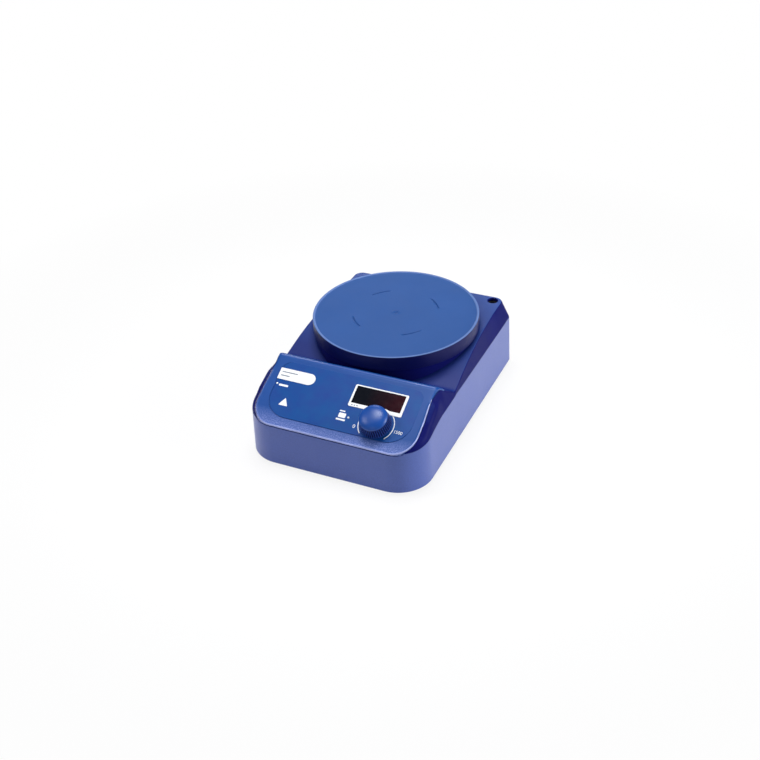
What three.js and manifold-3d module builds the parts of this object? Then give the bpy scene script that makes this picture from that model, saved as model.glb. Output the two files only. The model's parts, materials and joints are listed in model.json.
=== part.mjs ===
// Compact laboratory magnetic stirrer: a moulded housing with a sloping control panel at the front and
// a round plate on top, and inside it a flat brushless motor that turns a pair of magnets under the plate.
//
// Units are millimetres, +Z is up and the front faces -Y. The origin is the middle of the footprint, on
// the plane that the feet stand on. Pieces are drawn in "body" coordinates, whose zero is the middle of
// the housing at its lower edge, and pieces of the control panel in "panel" coordinates: x across,
// y up the slope from the front seam, z outwards from the panel.

import * as THREE from "three";
import { mergeVertices } from "three/addons/utils/BufferGeometryUtils.js";
import { ParametricGeometry } from "three/addons/geometries/ParametricGeometry.js";
import Module from "manifold-3d";

const wasm = await Module();
wasm.setup();

// ---- Driving dimensions -------------------------------------------------------------------------------

const bodyWidth = 150;
const bodyDepth = 204.5;
const footHeight = 3;
const rearProud = 3.2; // the rocker switch stands this far out of the rear wall
const wall = 2.5; // moulded wall thickness
const gap = 0.3; // clearance between pieces that lie in or on each other
const draft = 1.1; // how far the side wall leans in over its height

const frontCorner = 27; // plan radius of the front corners at the foot of the wall
const rearCorner = 4;
const wallTop = 43.3; // height of the side wall, where the side band starts
const frontWallTop = 34; // height of the front wall, under the panel's edge
const wallRise = 0.19; // from the front the wall's top rises this much per millimetre of depth
const shoulderStartY = -58; // in front of this line the side band bulges into a round shoulder
const shoulderOut = 0.75; // share of the band's width that the shoulder has reached ...
const shoulderDown = 0.28; // ... at this share of the band's height below the top's edge

const seamInset = 1.15; // from the foot of the front wall back to the panel's front edge
const seamHeight = 34.8;
const panelRise = 0.485; // rise of the panel per millimetre of depth
const panelHalfWidth = 68;
const panelWaist = { y: -54, halfWidth: 66.6 }; // the panel narrows a little just in front of its crest
const panelStraightY = -72; // and is straight in front of this line
const panelCorner = 18; // plan radius of the panel's front corners
const panelSkin = 2; // thickness of the panel moulding, measured upright
const panelBackY = -37; // the panel moulding ends here, behind its crest
const ledge = 2.3; // housing ledge under the panel, measured upright

const crestRadius = 6;
const backHeight = 24.2; // the slope behind the crest: height at y = 0 if it ran on
const backFall = 0.87;
const valleyY = -24;
const valleyHeight = 46.6;
const valleyHalfWidth = 73.4;
const deckY = 50; // behind this line the deck is level
const deckHeight = 58.7;
const deckNarrowY = 75; // the deck narrows evenly from the valley back to this line
const deckHalfWidth = 68;
const valleyRound = 2;

const plateRadius = 67.7;
const plateY = 30.84; // the plate's centre, behind the middle of the housing
const plateTop = 71.1;
const plateSkirtBottom = 59.3;
const pedestalRadius = 65.5;
const pedestalTop = 64;
const grooveRadius = 35;
const grooveArc = Math.PI / 6;

const rodHoleX = 60.2;
const rodHoleY = 95.1;
const rodHoleRadius = 4.3;
const rodSocketRadius = 5;

const knobX = 33;
const knobSlope = 21.3; // the knob's place up the panel's slope

const shaftRadius = 3;

// ---- Values derived from them -------------------------------------------------------------------------

const halfWidth = bodyWidth / 2;
const halfDepth = bodyDepth / 2;
const panelAngle = Math.atan(panelRise);
const seamY = -halfDepth + seamInset;
const pedestalClear = 3;

function panelHeight(y) {
  return seamHeight + panelRise * (y - seamY);
}

function backSlope(y) {
  return backHeight - backFall * y;
}

// The crest is an arc that touches both the panel and the slope behind it.
const crestSteep = Math.hypot(1, backFall) - Math.hypot(1, panelRise);
const crestMeet = (backHeight - panelHeight(0)) / (panelRise + backFall);
const crestY = crestMeet - (crestRadius * crestSteep) / (panelRise + backFall);
const crestCentreZ = panelHeight(crestY) - crestRadius * Math.hypot(1, panelRise);
const crestFrontY = crestY - crestRadius * Math.sin(panelAngle);
const crestBackY = crestY + crestRadius * Math.sin(Math.atan(backFall));

// Height of the housing's top along its middle: panel, crest, slope, valley and deck.
function topHeight(y) {
  if (y <= crestFrontY) return panelHeight(y);
  if (y < crestBackY) return crestCentreZ + Math.sqrt(crestRadius ** 2 - (y - crestY) ** 2);
  if (y >= deckY) return deckHeight;
  const level = THREE.MathUtils.clamp((y - valleyY) / (deckY - valleyY), -1, 1);
  const deck = deckHeight - (deckHeight - valleyHeight) * (1 - level) ** 2;
  const slope = backSlope(y);
  return (deck + slope + Math.hypot(deck - slope, valleyRound)) / 2;
}

// Half width of the top at its turning points, front to rear; between them it changes evenly.
const edgePlan = [
  [panelStraightY, panelHalfWidth], [panelWaist.y, panelWaist.halfWidth], [crestY, panelHalfWidth],
  [valleyY, valleyHalfWidth], [deckNarrowY, deckHalfWidth],
];

function topHalfWidth(y) {
  const next = edgePlan.findIndex(([edgeY]) => edgeY > y);
  if (next === 0) return panelHalfWidth;
  if (next === -1) return deckHalfWidth;
  const [y0, width0] = edgePlan[next - 1];
  const [y1, width1] = edgePlan[next];
  return THREE.MathUtils.mapLinear(y, y0, y1, width0, width1);
}

function wallHeight(y) {
  return Math.min(wallTop, frontWallTop + wallRise * (y - seamY));
}

// A point of the side band between its lower and upper edge: on the straight line between them beside the
// deck, and bulging outwards beside the panel.
function shoulderPoint(top, edge) {
  const bulge = 1 - THREE.MathUtils.smoothstep(edge[1], shoulderStartY, crestY);
  const out = THREE.MathUtils.lerp(0.5, shoulderOut, bulge);
  const down = THREE.MathUtils.lerp(0.5, shoulderDown, bulge);
  return [0, 1, 2].map((i) => THREE.MathUtils.lerp(edge[i], top[i], i === 2 ? down : out));
}

// ---- Tools for making solids --------------------------------------------------------------------------

// A closed three.js geometry as a solid that can be joined and cut.
function solid(geometry) {
  const bare = geometry.index ? geometry.toNonIndexed() : geometry.clone();
  bare.deleteAttribute("normal");
  bare.deleteAttribute("uv");
  const merged = mergeVertices(bare, 1e-4);
  const corners = merged.index.array;
  const kept = [];
  for (let i = 0; i < corners.length; i += 3) {
    const [a, b, c] = [corners[i], corners[i + 1], corners[i + 2]];
    if (a !== b && b !== c && c !== a) kept.push(a, b, c);
  }
  return new wasm.Manifold(new wasm.Mesh({
    numProp: 3,
    vertProperties: new Float32Array(merged.attributes.position.array),
    triVerts: new Uint32Array(kept),
  }));
}

function geometryOf(body) {
  const mesh = body.getMesh();
  const geometry = new THREE.BufferGeometry();
  geometry.setAttribute("position", new THREE.BufferAttribute(mesh.vertProperties, mesh.numProp));
  geometry.setIndex(new THREE.BufferAttribute(mesh.triVerts, 1));
  geometry.computeVertexNormals();
  return geometry;
}

function joined(...bodies) {
  return bodies.reduce((whole, body) => whole.add(body));
}

function cut(body, ...tools) {
  return tools.reduce((rest, tool) => rest.subtract(tool), body);
}

function block(x0, x1, y0, y1, z0, z1) {
  const geometry = new THREE.BoxGeometry(x1 - x0, y1 - y0, z1 - z0);
  geometry.translate((x0 + x1) / 2, (y0 + y1) / 2, (z0 + z1) / 2);
  return solid(geometry);
}

// An upright cylinder.
function rod(radius, z0, z1, x = 0, y = 0, sides = 32) {
  const geometry = new THREE.CylinderGeometry(radius, radius, z1 - z0, sides);
  geometry.rotateX(Math.PI / 2);
  geometry.translate(x, y, (z0 + z1) / 2);
  return solid(geometry);
}

// A turned piece about the Z axis: outline points are [radius, height], listed upwards.
function turned(outline, sides = 32) {
  const points = outline.map(([radius, height]) => new THREE.Vector2(radius, height));
  const geometry = new THREE.LatheGeometry(points, sides);
  geometry.rotateX(Math.PI / 2);
  return solid(geometry);
}

function ring(inner, outer, z0, z1, sides = 32) {
  return turned([[inner, z0], [outer, z0], [outer, z1], [inner, z1], [inner, z0]], sides);
}

// A flat outline made into a plate between two heights.
function plate(shape, z0, z1, curveSegments = 8) {
  const geometry = new THREE.ExtrudeGeometry(shape, { depth: z1 - z0, bevelEnabled: false, curveSegments });
  geometry.translate(0, 0, z0);
  return solid(geometry);
}

// An outline in the Y-Z plane made into a bar between two x values.
function bar(points, x0, x1) {
  const shape = new THREE.Shape(points.map(([y, z]) => new THREE.Vector2(y, z)));
  const geometry = new THREE.ExtrudeGeometry(shape, { depth: x1 - x0, bevelEnabled: false });
  geometry.rotateZ(Math.PI / 2);
  geometry.rotateY(Math.PI / 2);
  geometry.translate(x0, 0, 0);
  return solid(geometry);
}

function roundedRectangle(x0, x1, y0, y1, radius) {
  const shape = new THREE.Shape();
  shape.absarc(x1 - radius, y1 - radius, radius, 0, Math.PI / 2);
  shape.absarc(x0 + radius, y1 - radius, radius, Math.PI / 2, Math.PI);
  shape.absarc(x0 + radius, y0 + radius, radius, Math.PI, Math.PI * 1.5);
  shape.absarc(x1 - radius, y0 + radius, radius, Math.PI * 1.5, Math.PI * 2);
  return shape;
}

// The same for a box given by its sides, grown by some amount all round.
function boxOutline(box, grow, radius) {
  return roundedRectangle(box.x0 - grow, box.x1 + grow, box.y0 - grow, box.y1 + grow, radius);
}

// A round lead through a list of points.
function lead(radius, points) {
  const path = new THREE.CatmullRomCurve3(points.map((point) => new THREE.Vector3(...point)));
  const section = new THREE.Shape();
  section.absarc(0, 0, radius, 0, Math.PI * 2);
  return solid(new THREE.ExtrudeGeometry(section, { steps: 14, curveSegments: 3, extrudePath: path }));
}

// A pan head screw with a cross recess: its head's underside is at zero and the shank points up.
function screw(headRadius, headHeight, threadRadius, length) {
  const blank = turned([
    [0, -headHeight], [headRadius * 0.8, -headHeight], [headRadius, -headHeight * 0.4], [headRadius, 0],
    [threadRadius, 0], [threadRadius, length], [0, length],
  ], 8);
  const slotLength = headRadius * 0.6;
  const slotWidth = headRadius * 0.14;
  const slotBottom = -headHeight * 0.45;
  return cut(
    blank,
    block(-slotLength, slotLength, -slotWidth, slotWidth, -headHeight - 1, slotBottom),
    block(-slotWidth, slotWidth, -slotLength, slotLength, -headHeight - 1, slotBottom),
  );
}

// ---- Materials ----------------------------------------------------------------------------------------

const paint = (color, roughness, metalness) => () =>
  new THREE.MeshStandardMaterial({ color, roughness, metalness });
const bluePlastic = paint(0x35417f, 0.45, 0);
const panelPlastic = paint(0x24467f, 0.38, 0);
const plateBlue = paint(0x3a5a9c, 0.4, 0);
const knobPlastic = paint(0x174f9b, 0.22, 0);
const whiteInk = paint(0xe9ecef, 0.5, 0);
const darkLens = paint(0x1a0a0c, 0.1, 0);
const lampLens = paint(0xdfe6ea, 0.25, 0);
const blackPlastic = paint(0x17181b, 0.5, 0);
const blackRubber = paint(0x141415, 0.85, 0);
const boardGreen = paint(0x1f5b36, 0.55, 0);
const zincSteel = paint(0xb4b8bc, 0.35, 1);
const castAluminium = paint(0x9da1a5, 0.5, 1);
const bearingSteel = paint(0xc6c9cc, 0.2, 1);
const laminatedSteel = paint(0x6d7074, 0.5, 1);
const enamelCopper = paint(0xa9562a, 0.35, 0.8);
const magnetNickel = paint(0xaeb0b0, 0.25, 1);
const brass = paint(0xb08d3f, 0.3, 1);
const darkSteel = paint(0x26272a, 0.45, 1);
const glassTube = paint(0xd8e3e6, 0.1, 0);
const leadGrey = paint(0x8d9094, 0.6, 0);
const tapeYellow = paint(0xc9a227, 0.5, 0);

// ---- The groups and how a piece is added --------------------------------------------------------------

const stirrer = new THREE.Group();
const upsideDown = [Math.PI, 0, 0];

const body = new THREE.Group();
body.position.set(0, -rearProud / 2, footHeight);
stirrer.add(body);

const panel = new THREE.Group();
panel.position.set(0, seamY, seamHeight);
panel.rotation.x = panelAngle;
body.add(panel);

const drive = new THREE.Group(); // stands on the motor's axis, under the plate's centre
drive.position.set(0, plateY, 0);
body.add(drive);

function piece(parent, name, shape, material, position = [0, 0, 0], rotation = [0, 0, 0]) {
  const mesh = new THREE.Mesh(geometryOf(shape), material());
  mesh.name = name;
  mesh.position.set(...position);
  mesh.rotation.set(...rotation);
  parent.add(mesh);
}

// Turns a solid drawn in panel coordinates into body coordinates, for cutting the housing or the panel.
function fromPanel(shape) {
  const geometry = geometryOf(shape);
  geometry.rotateX(panelAngle);
  geometry.translate(0, seamY, seamHeight);
  return solid(geometry);
}

// ---- Housing ------------------------------------------------------------------------------------------

// Points round the right half of the housing, front to rear. Each station has the foot of the wall, the
// top of the wall, the band's shoulder and the edge of the top. A positive inset gives the hollow inside.
function housingStations(inset, drop, footZ) {
  const stations = [];
  const add = (foot, top, edge) => {
    const edgeZ = topHeight(edge[1]) - drop(edge[1]);
    const wallZ = Math.min(wallHeight(top[1]) - inset / 2, edgeZ - gap);
    const bandFoot = [...top, wallZ];
    const bandTop = [...edge, edgeZ];
    stations.push([[...foot, footZ], bandFoot, shoulderPoint(bandFoot, bandTop), bandTop]);
  };
  const onArc = (x, y, radius, angle) => [x + radius * Math.cos(angle), y + radius * Math.sin(angle)];
  const arcStations = (y, angles, corner, edgeCorner, edgeHalfWidth, edgeY) => {
    for (const angle of angles) {
      add(
        onArc(halfWidth - corner, y, corner - inset, angle),
        onArc(halfWidth - corner, y, corner - inset - draft, angle),
        onArc(edgeHalfWidth - edgeCorner, edgeY, Math.max(edgeCorner - inset, gap), angle),
      );
    }
  };
  const steps = (from, to, count) =>
    Array.from({ length: count + 1 }, (_, i) => from + ((to - from) * i) / count);

  add([0, inset - halfDepth], [0, inset + draft - halfDepth], [0, inset + seamY]);
  arcStations(frontCorner - halfDepth, steps(-Math.PI / 2, 0, 8), frontCorner, panelCorner,
    panelHalfWidth, seamY + panelCorner);
  const sideDepths = [
    panelStraightY, -63, panelWaist.y, ...steps(crestFrontY, crestBackY, 5),
    ...steps(-36, valleyY, 4), ...steps(-20, deckY, 7), deckNarrowY,
  ];
  for (const y of sideDepths) {
    add([halfWidth - inset, y], [halfWidth - inset - draft, y], [topHalfWidth(y) - inset, y]);
  }
  const rearY = halfDepth - rearCorner;
  arcStations(rearY, steps(0, Math.PI / 2, 3), rearCorner, rearCorner, topHalfWidth(rearY), rearY - draft);
  add([0, halfDepth - inset], [0, halfDepth - inset - draft], [0, halfDepth - inset - draft]);
  return stations;
}

// The closed body through those stations: mirrored to the left, and filled to the middle line.
function housingBody(inset, drop, footZ) {
  const right = housingStations(inset, drop, footZ);
  const around = 2 * (right.length - 1);
  const levels = 5;
  const surface = (u, v, target) => {
    const place = Math.round(u * around);
    const left = place >= right.length;
    const [foot, top, shoulder, edge] = right[left ? around - place : place];
    const footMiddle = [0, foot[1], foot[2]];
    const topMiddle = [0, edge[1], edge[2]];
    const [x, y, z] = [footMiddle, foot, top, shoulder, edge, topMiddle][Math.round(v * levels)];
    target.set(left ? -x : x, y, z);
  };
  return solid(new ParametricGeometry(surface, around, levels));
}

const outerBody = housingBody(0, () => 0, 0);

// Everything above the housing's top, as far out as the top's edge and a little further.
function aboveTop(grow) {
  const right = housingStations(-grow, () => 0, 0).map((station) => station[3]);
  const left = right.slice(1, -1).reverse().map(([x, y]) => [-x, y]);
  const outline = [...right, ...left].map(([x, y]) => new THREE.Vector2(x, y));
  return plate(new THREE.Shape(outline), 20, 90);
}

// The region that the panel moulding fills: between the top and a surface below it, front to crest.
function panelRegion(depth, endY, grow) {
  const floorZ = seamHeight - depth * 0.15;
  const under = (y) => Math.max(topHeight(y) - depth, floorZ);
  const startY = -halfDepth - 5;
  const kneeY = seamY + (depth * 0.85) / panelRise;
  const depths = [startY, kneeY, crestFrontY, crestY - 1, crestY + 2, crestBackY, endY];
  const below = depths.map((y) => [y, under(y)]);
  return bar([...below, [endY, 90], [startY, 90]], -halfWidth - 5, halfWidth + 5).intersect(aboveTop(grow));
}

const caseBosses = [[-66, -56], [66, -56], [-64, 74], [64, 74]];
const feetPlaces = [[-58, -80], [58, -80], [-58, 90], [58, 90]];
const platePosts = [90, 210, 330].map((degrees) => {
  const angle = THREE.MathUtils.degToRad(degrees);
  return [50 * Math.cos(angle), plateY + 50 * Math.sin(angle)];
});

const inletX = -36;
const inletZ = 24;
const inletHalfWidth = 13.6;
const inletHalfHeight = 15.2;
const switchX = 36;
const switchZ = 24;
const switchHalfWidth = 6.6;
const switchHalfHeight = 9.8;

const displayFrame = { x0: 5.2, x1: 49.2, y0: 31.3, y1: 50.5 };
const displayOpening = { x0: 7.2, x1: 46.8, y0: 34.9, y1: 49 };
const frameDepth = 0.9;
const boardUnder = -14.2;
const boardTop = boardUnder + 1.6;
const boardPosts = [[-55, 14], [55, 14], [-55, 47], [55, 47]];
const lampRadius = 0.8;
const powerLampPlace = [-57.6, 36.2];
const stirLampPlace = [9.8, 21.6];
const bushRadius = 4.2;

// The name label has square corners at its left and a round right end.
const label = { left: -59.6, roundX: -33.3, middleY: 45.3, halfHeight: 5 };

function labelShape(grow) {
  const radius = label.halfHeight + grow;
  const shape = new THREE.Shape();
  shape.moveTo(label.left - grow, label.middleY - radius);
  shape.lineTo(label.roundX, label.middleY - radius);
  shape.absarc(label.roundX, label.middleY, radius, -Math.PI / 2, Math.PI / 2);
  shape.lineTo(label.left - grow, label.middleY + radius);
  return shape;
}

function buildUpperHousing() {
  const drop = (y) => (y < panelBackY ? panelSkin + gap + ledge : wall);
  const hollow = housingBody(wall, drop, -1);
  const pedestal = rod(pedestalRadius, 40, pedestalTop, 0, plateY, 64);
  const pedestalHollow = rod(pedestalRadius - pedestalClear, 20, pedestalTop - wall, 0, plateY, 48);
  const shell = cut(joined(outerBody, pedestal), hollow, pedestalHollow);
  const bosses = caseBosses.map(([x, y]) => rod(4, wall + 2 * gap, 60, x, y, 16).intersect(outerBody));
  const rodBoss = rod(8, 38, 60, rodHoleX, rodHoleY, 20).intersect(outerBody);
  const drilled = [
    ...caseBosses.map(([x, y]) => rod(1.8, 0, 16, x, y, 12)),
    ...platePosts.map(([x, y]) => rod(2, 55, 70, x, y, 12)),
    rod(rodSocketRadius + gap, 30, 56, rodHoleX, rodHoleY, 20),
    rod(rodHoleRadius, 50, 70, rodHoleX, rodHoleY, 24),
  ];
  const panelWindow = fromPanel(plate(roundedRectangle(-60, 60, 8, 52, 4), -8, 3, 4));
  const rearOpenings = [
    block(inletX - inletHalfWidth - gap, inletX + inletHalfWidth + gap, 90, 110,
      inletZ - inletHalfHeight - gap, inletZ + inletHalfHeight + gap),
    block(switchX - switchHalfWidth - gap, switchX + switchHalfWidth + gap, 90, 110,
      switchZ - switchHalfHeight - gap, switchZ + switchHalfHeight + gap),
  ];
  const whole = joined(shell, ...bosses, rodBoss);
  const panelSeat = panelRegion(panelSkin + gap, panelBackY + gap, gap);
  return cut(whole, panelSeat, panelWindow, ...drilled, ...rearOpenings);
}

function buildControlPanel() {
  const skin = outerBody.intersect(panelRegion(panelSkin, panelBackY, 0));
  const posts = boardPosts.map(([x, y]) => rod(3, boardTop + gap, -1, x, y, 12));
  const openings = [
    plate(boxOutline(displayFrame, gap, 1.5), -frameDepth - gap, 3, 3),
    plate(boxOutline(displayOpening, gap, 0.9), -8, 3, 2),
    plate(labelShape(gap), -0.8, 3),
    rod(lampRadius + gap, -8, 3, ...powerLampPlace, 12),
    rod(lampRadius + gap, -8, 3, ...stirLampPlace, 12),
    rod(bushRadius + gap, -8, 3, knobX, knobSlope, 32),
    ...boardPosts.map(([x, y]) => rod(1.2, -13, -3, x, y, 8)),
  ];
  return cut(joined(skin, fromPanel(joined(...posts))), ...openings.map(fromPanel));
}

// The floor of the case, let in between the walls, with posts for the boards and the motor.
const floorBottom = gap;
const floorTop = floorBottom + wall;
const supplyPosts = [[-46, -72], [38, -72], [-46, -26], [38, -26]];
const supplyBoardZ = 9;
const motorPosts = [30, 150, 270].map((degrees) => {
  const angle = THREE.MathUtils.degToRad(degrees);
  return [33 * Math.cos(angle), 33 * Math.sin(angle)];
});
const motorBaseZ = 10.3;

function floorShape() {
  const side = halfWidth - wall - 2 * gap;
  const end = halfDepth - wall - 2 * gap;
  const front = frontCorner - wall - 2 * gap;
  const rear = 1.5;
  const shape = new THREE.Shape();
  shape.absarc(side - rear, end - rear, rear, 0, Math.PI / 2);
  shape.absarc(rear - side, end - rear, rear, Math.PI / 2, Math.PI);
  shape.absarc(front - side, front - end, front, Math.PI, Math.PI * 1.5);
  shape.absarc(side - front, front - end, front, Math.PI * 1.5, Math.PI * 2);
  return shape;
}

function buildBottomPlate() {
  const posts = [
    ...supplyPosts.map(([x, y]) => rod(3, floorTop - 1, supplyBoardZ - gap, x, y, 12)),
    ...motorPosts.map(([x, y]) => rod(4, floorTop - 1, motorBaseZ - gap, x, y + plateY, 12)),
  ];
  const drilled = [
    ...supplyPosts.map(([x, y]) => rod(1.2, floorTop + 0.5, 12, x, y, 8)),
    ...motorPosts.map(([x, y]) => rod(1.5, floorTop + 0.5, 12, x, y + plateY, 8)),
    ...caseBosses.map(([x, y]) => rod(1.8, -1, 5, x, y, 12)),
    ...feetPlaces.map(([x, y]) => rod(3.4, -1, 5, x, y, 12)),
  ];
  const slots = Array.from({ length: 5 }, (_, i) => block(-18, 18, 78 + 3 * i, 79.4 + 3 * i, -1, 5));
  return cut(joined(plate(floorShape(), floorBottom, floorTop, 6), ...posts), ...drilled, ...slots);
}

function addCase() {
  piece(body, "upper_housing", buildUpperHousing(), bluePlastic);
  piece(body, "bottom_plate", buildBottomPlate(), bluePlastic);
  const foot = turned([
    [0, -footHeight], [7, -footHeight], [8, 1 - footHeight], [8, 0], [3, 0], [3, floorTop + 0.1],
    [3.8, floorTop + 0.2], [2.4, floorTop + 2.4], [0, floorTop + 2.4],
  ], 16);
  const sides = ["front_left", "front_right", "rear_left", "rear_right"];
  const caseScrew = screw(3, 1.6, 1.5, 13);
  sides.forEach((side, i) => {
    piece(body, `foot_${side}`, foot, blackRubber, [...feetPlaces[i], 0]);
    piece(body, `case_screw_${side}`, caseScrew, zincSteel, [...caseBosses[i], floorBottom - 0.1]);
  });
}

// ---- Top plate and support rod socket -----------------------------------------------------------------

function buildTopPlate() {
  const underside = plateTop - 3;
  const skirtInner = plateRadius - 1.7;
  const cup = turned([
    [0, underside], [skirtInner, underside], [skirtInner, plateSkirtBottom],
    [plateRadius, plateSkirtBottom], [plateRadius, plateTop - 0.6], [plateRadius - 0.6, plateTop],
    [plateRadius - 1.3, plateTop], [plateRadius - 1.8, plateTop - 0.5], [0, plateTop - 0.5],
  ], 64);
  const posts = platePosts.map(([x, y]) => rod(4, pedestalTop + gap, underside + 1, x, y - plateY, 12));
  const screwHoles = platePosts.map(([x, y]) => rod(1.6, 60, underside + 0.5, x, y - plateY, 10));
  const grooveFloor = plateTop - 1;
  const grooves = [45, 135, 225, 315].map((degrees) => {
    const middle = THREE.MathUtils.degToRad(degrees);
    const shape = new THREE.Shape();
    shape.absarc(0, 0, grooveRadius + 0.5, middle - grooveArc / 2, middle + grooveArc / 2, false);
    shape.absarc(0, 0, grooveRadius - 0.5, middle + grooveArc / 2, middle - grooveArc / 2, true);
    return plate(shape, grooveFloor, plateTop + 1, 4);
  });
  return cut(joined(cup, ...posts), ...screwHoles, ...grooves, rod(1, grooveFloor, plateTop + 1, 0, 0, 12));
}

function addPlate() {
  piece(body, "top_plate", buildTopPlate(), plateBlue, [0, plateY, 0]);
  const plateScrew = screw(3, 1.6, 1.4, 6.4);
  platePosts.forEach(([x, y], i) => {
    piece(body, `plate_screw_${i + 1}`, plateScrew, zincSteel, [x, y, pedestalTop - wall - 0.1]);
  });
  piece(body, "rod_socket", ring(4, rodSocketRadius, 39, 55.7, 20), darkSteel, [rodHoleX, rodHoleY, 0]);
}

// ---- Motor and magnets, drawn about the motor's axis --------------------------------------------------

const baseTop = motorBaseZ + 2;
const baseRadius = 38;
const seatFloor = motorBaseZ + 1.5;
const tubeTop = 38;
const bearingHeight = 5;
const bearingOuter = 6.5;
const stator = { bottom: 20, top: 30, inner: 8.8, hub: 12, head: 22 };
const cupInner = 26;
const cupTop = 42;
const holderBottom = cupTop + gap;
const magnetPlace = 24;
const magnetRadius = 9;

// Stator laminations: a hub with nine T-shaped teeth.
function buildStatorCore() {
  const teeth = 9;
  const parts = [ring(stator.inner, stator.hub, stator.bottom, stator.top, 18)];
  for (let i = 0; i < teeth; i += 1) {
    const angle = (i * 2 * Math.PI) / teeth;
    const head = new THREE.Shape();
    head.absarc(0, 0, stator.head, -0.29, 0.29, false);
    head.absarc(0, 0, stator.head - 2, 0.27, -0.27, true);
    const neck = new THREE.BoxGeometry(stator.head - 1 - stator.hub + 1, 4, stator.top - stator.bottom);
    neck.translate((stator.head - 1 + stator.hub - 1) / 2, 0, (stator.top + stator.bottom) / 2);
    neck.rotateZ(angle);
    const headPlate = geometryOf(plate(head, stator.bottom, stator.top, 2));
    headPlate.rotateZ(angle);
    parts.push(solid(neck), solid(headPlate));
  }
  return joined(...parts);
}

// The base is a disc with a tube standing on it, and each end of the tube holds a bearing.
function buildMotorBase() {
  const seat = bearingOuter + 0.1;
  const disc = turned([
    [0, motorBaseZ], [baseRadius, motorBaseZ], [baseRadius, baseTop], [8.4, baseTop], [8.4, tubeTop],
    [seat, tubeTop], [seat, tubeTop - bearingHeight - gap], [5, tubeTop - bearingHeight - gap],
    [5, seatFloor + bearingHeight + gap], [seat, seatFloor + bearingHeight + gap], [seat, seatFloor],
    [0, seatFloor],
  ], 32);
  return cut(disc, ...motorPosts.map(([x, y]) => rod(1.7, 5, 15, x, y, 10)));
}

function buildRotorCup() {
  return turned([
    [shaftRadius + 0.1, cupTop - 3], [6, cupTop - 3], [6, cupTop - 1.6], [cupInner, cupTop - 1.6],
    [cupInner, 17], [cupInner + 1.6, 17], [cupInner + 1.6, cupTop - 1], [cupInner + 0.6, cupTop],
    [shaftRadius + 0.1, cupTop], [shaftRadius + 0.1, cupTop - 3],
  ], 32);
}

function buildMagnetHolder() {
  const arm = roundedRectangle(-magnetPlace - 12, magnetPlace + 12, -12, 12, 11.5);
  const bodyPlate = plate(arm, holderBottom, 52, 6);
  return cut(
    bodyPlate,
    rod(shaftRadius + 0.1, 40, 60, 0, 0, 24),
    rod(magnetRadius + 0.3, 46, 60, -magnetPlace, 0, 24),
    rod(magnetRadius + 0.3, 46, 60, magnetPlace, 0, 24),
  );
}

function addDrive() {
  piece(drive, "motor_base", buildMotorBase(), castAluminium);
  const core = buildStatorCore();
  piece(drive, "stator_core", core, laminatedSteel);
  const windingBlank = turned([
    [stator.hub + 0.8, stator.bottom - 2.5], [18.2, stator.bottom - 2.5], [19.3, stator.bottom - 1.4],
    [19.3, stator.top + 1.4], [18.2, stator.top + 2.5], [stator.hub + 0.8, stator.top + 2.5],
    [stator.hub + 0.8, stator.bottom - 2.5],
  ], 32);
  const coreRoom = geometryOf(core);
  coreRoom.translate(0, 0, -(stator.top + stator.bottom) / 2);
  coreRoom.scale(1, 1, 1.08);
  coreRoom.translate(0, 0, (stator.top + stator.bottom) / 2);
  piece(drive, "stator_winding", cut(windingBlank, solid(coreRoom)), enamelCopper);

  const bearing = ring(shaftRadius + 0.05, bearingOuter, 0, bearingHeight, 24);
  piece(drive, "lower_bearing", bearing, bearingSteel, [0, 0, seatFloor + gap / 2]);
  piece(drive, "upper_bearing", bearing, bearingSteel, [0, 0, tubeTop - bearingHeight - gap / 2]);
  const motorScrew = screw(2.8, 1.8, 1.3, 8);
  motorPosts.forEach(([x, y], i) => {
    piece(drive, `motor_screw_${i + 1}`, motorScrew, zincSteel, [x, y, baseTop + 0.1], upsideDown);
  });

  const shaft = turned([
    [0, baseTop], [shaftRadius - 0.3, baseTop], [shaftRadius, baseTop + 0.3], [shaftRadius, 50],
    [shaftRadius - 0.4, 50.4], [0, 50.4],
  ], 24);
  piece(drive, "motor_shaft", shaft, bearingSteel);
  piece(drive, "rotor_cup", buildRotorCup(), zincSteel);
  piece(drive, "rotor_magnet", ring(23, cupInner - 0.2, 18, 34, 32), laminatedSteel);
  piece(drive, "magnet_holder", buildMagnetHolder(), castAluminium);
  [-magnetPlace, magnetPlace].forEach((x, i) => {
    const magnet = turned([
      [0, 46.1], [magnetRadius, 46.1], [magnetRadius, 56], [magnetRadius - 0.6, 56.6], [0, 56.6],
    ], 24);
    piece(drive, `drive_magnet_${i + 1}`, magnet, magnetNickel, [x, 0, 0]);
  });
}

// ---- Control panel and what it carries, drawn in panel coordinates ------------------------------------

// The knob: a tall fluted skirt with a shallow dome over it, and a hub that grips the shaft.
const knobBase = 0.6;
const skirtRadius = 12.2;
const skirtTop = 9.8;
const domeRadius = 11.1;
const domeTop = 14.4;

function flutedShape(radius, flutes, depth) {
  const points = [];
  for (let i = 0; i < flutes; i += 1) {
    const angle = (i * 2 * Math.PI) / flutes;
    const half = Math.PI / flutes;
    points.push([radius, angle - half * 0.5], [radius, angle + half * 0.3], [radius - depth, angle + half]);
  }
  return new THREE.Shape(points.map(([r, a]) => new THREE.Vector2(r * Math.cos(a), r * Math.sin(a))));
}

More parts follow.
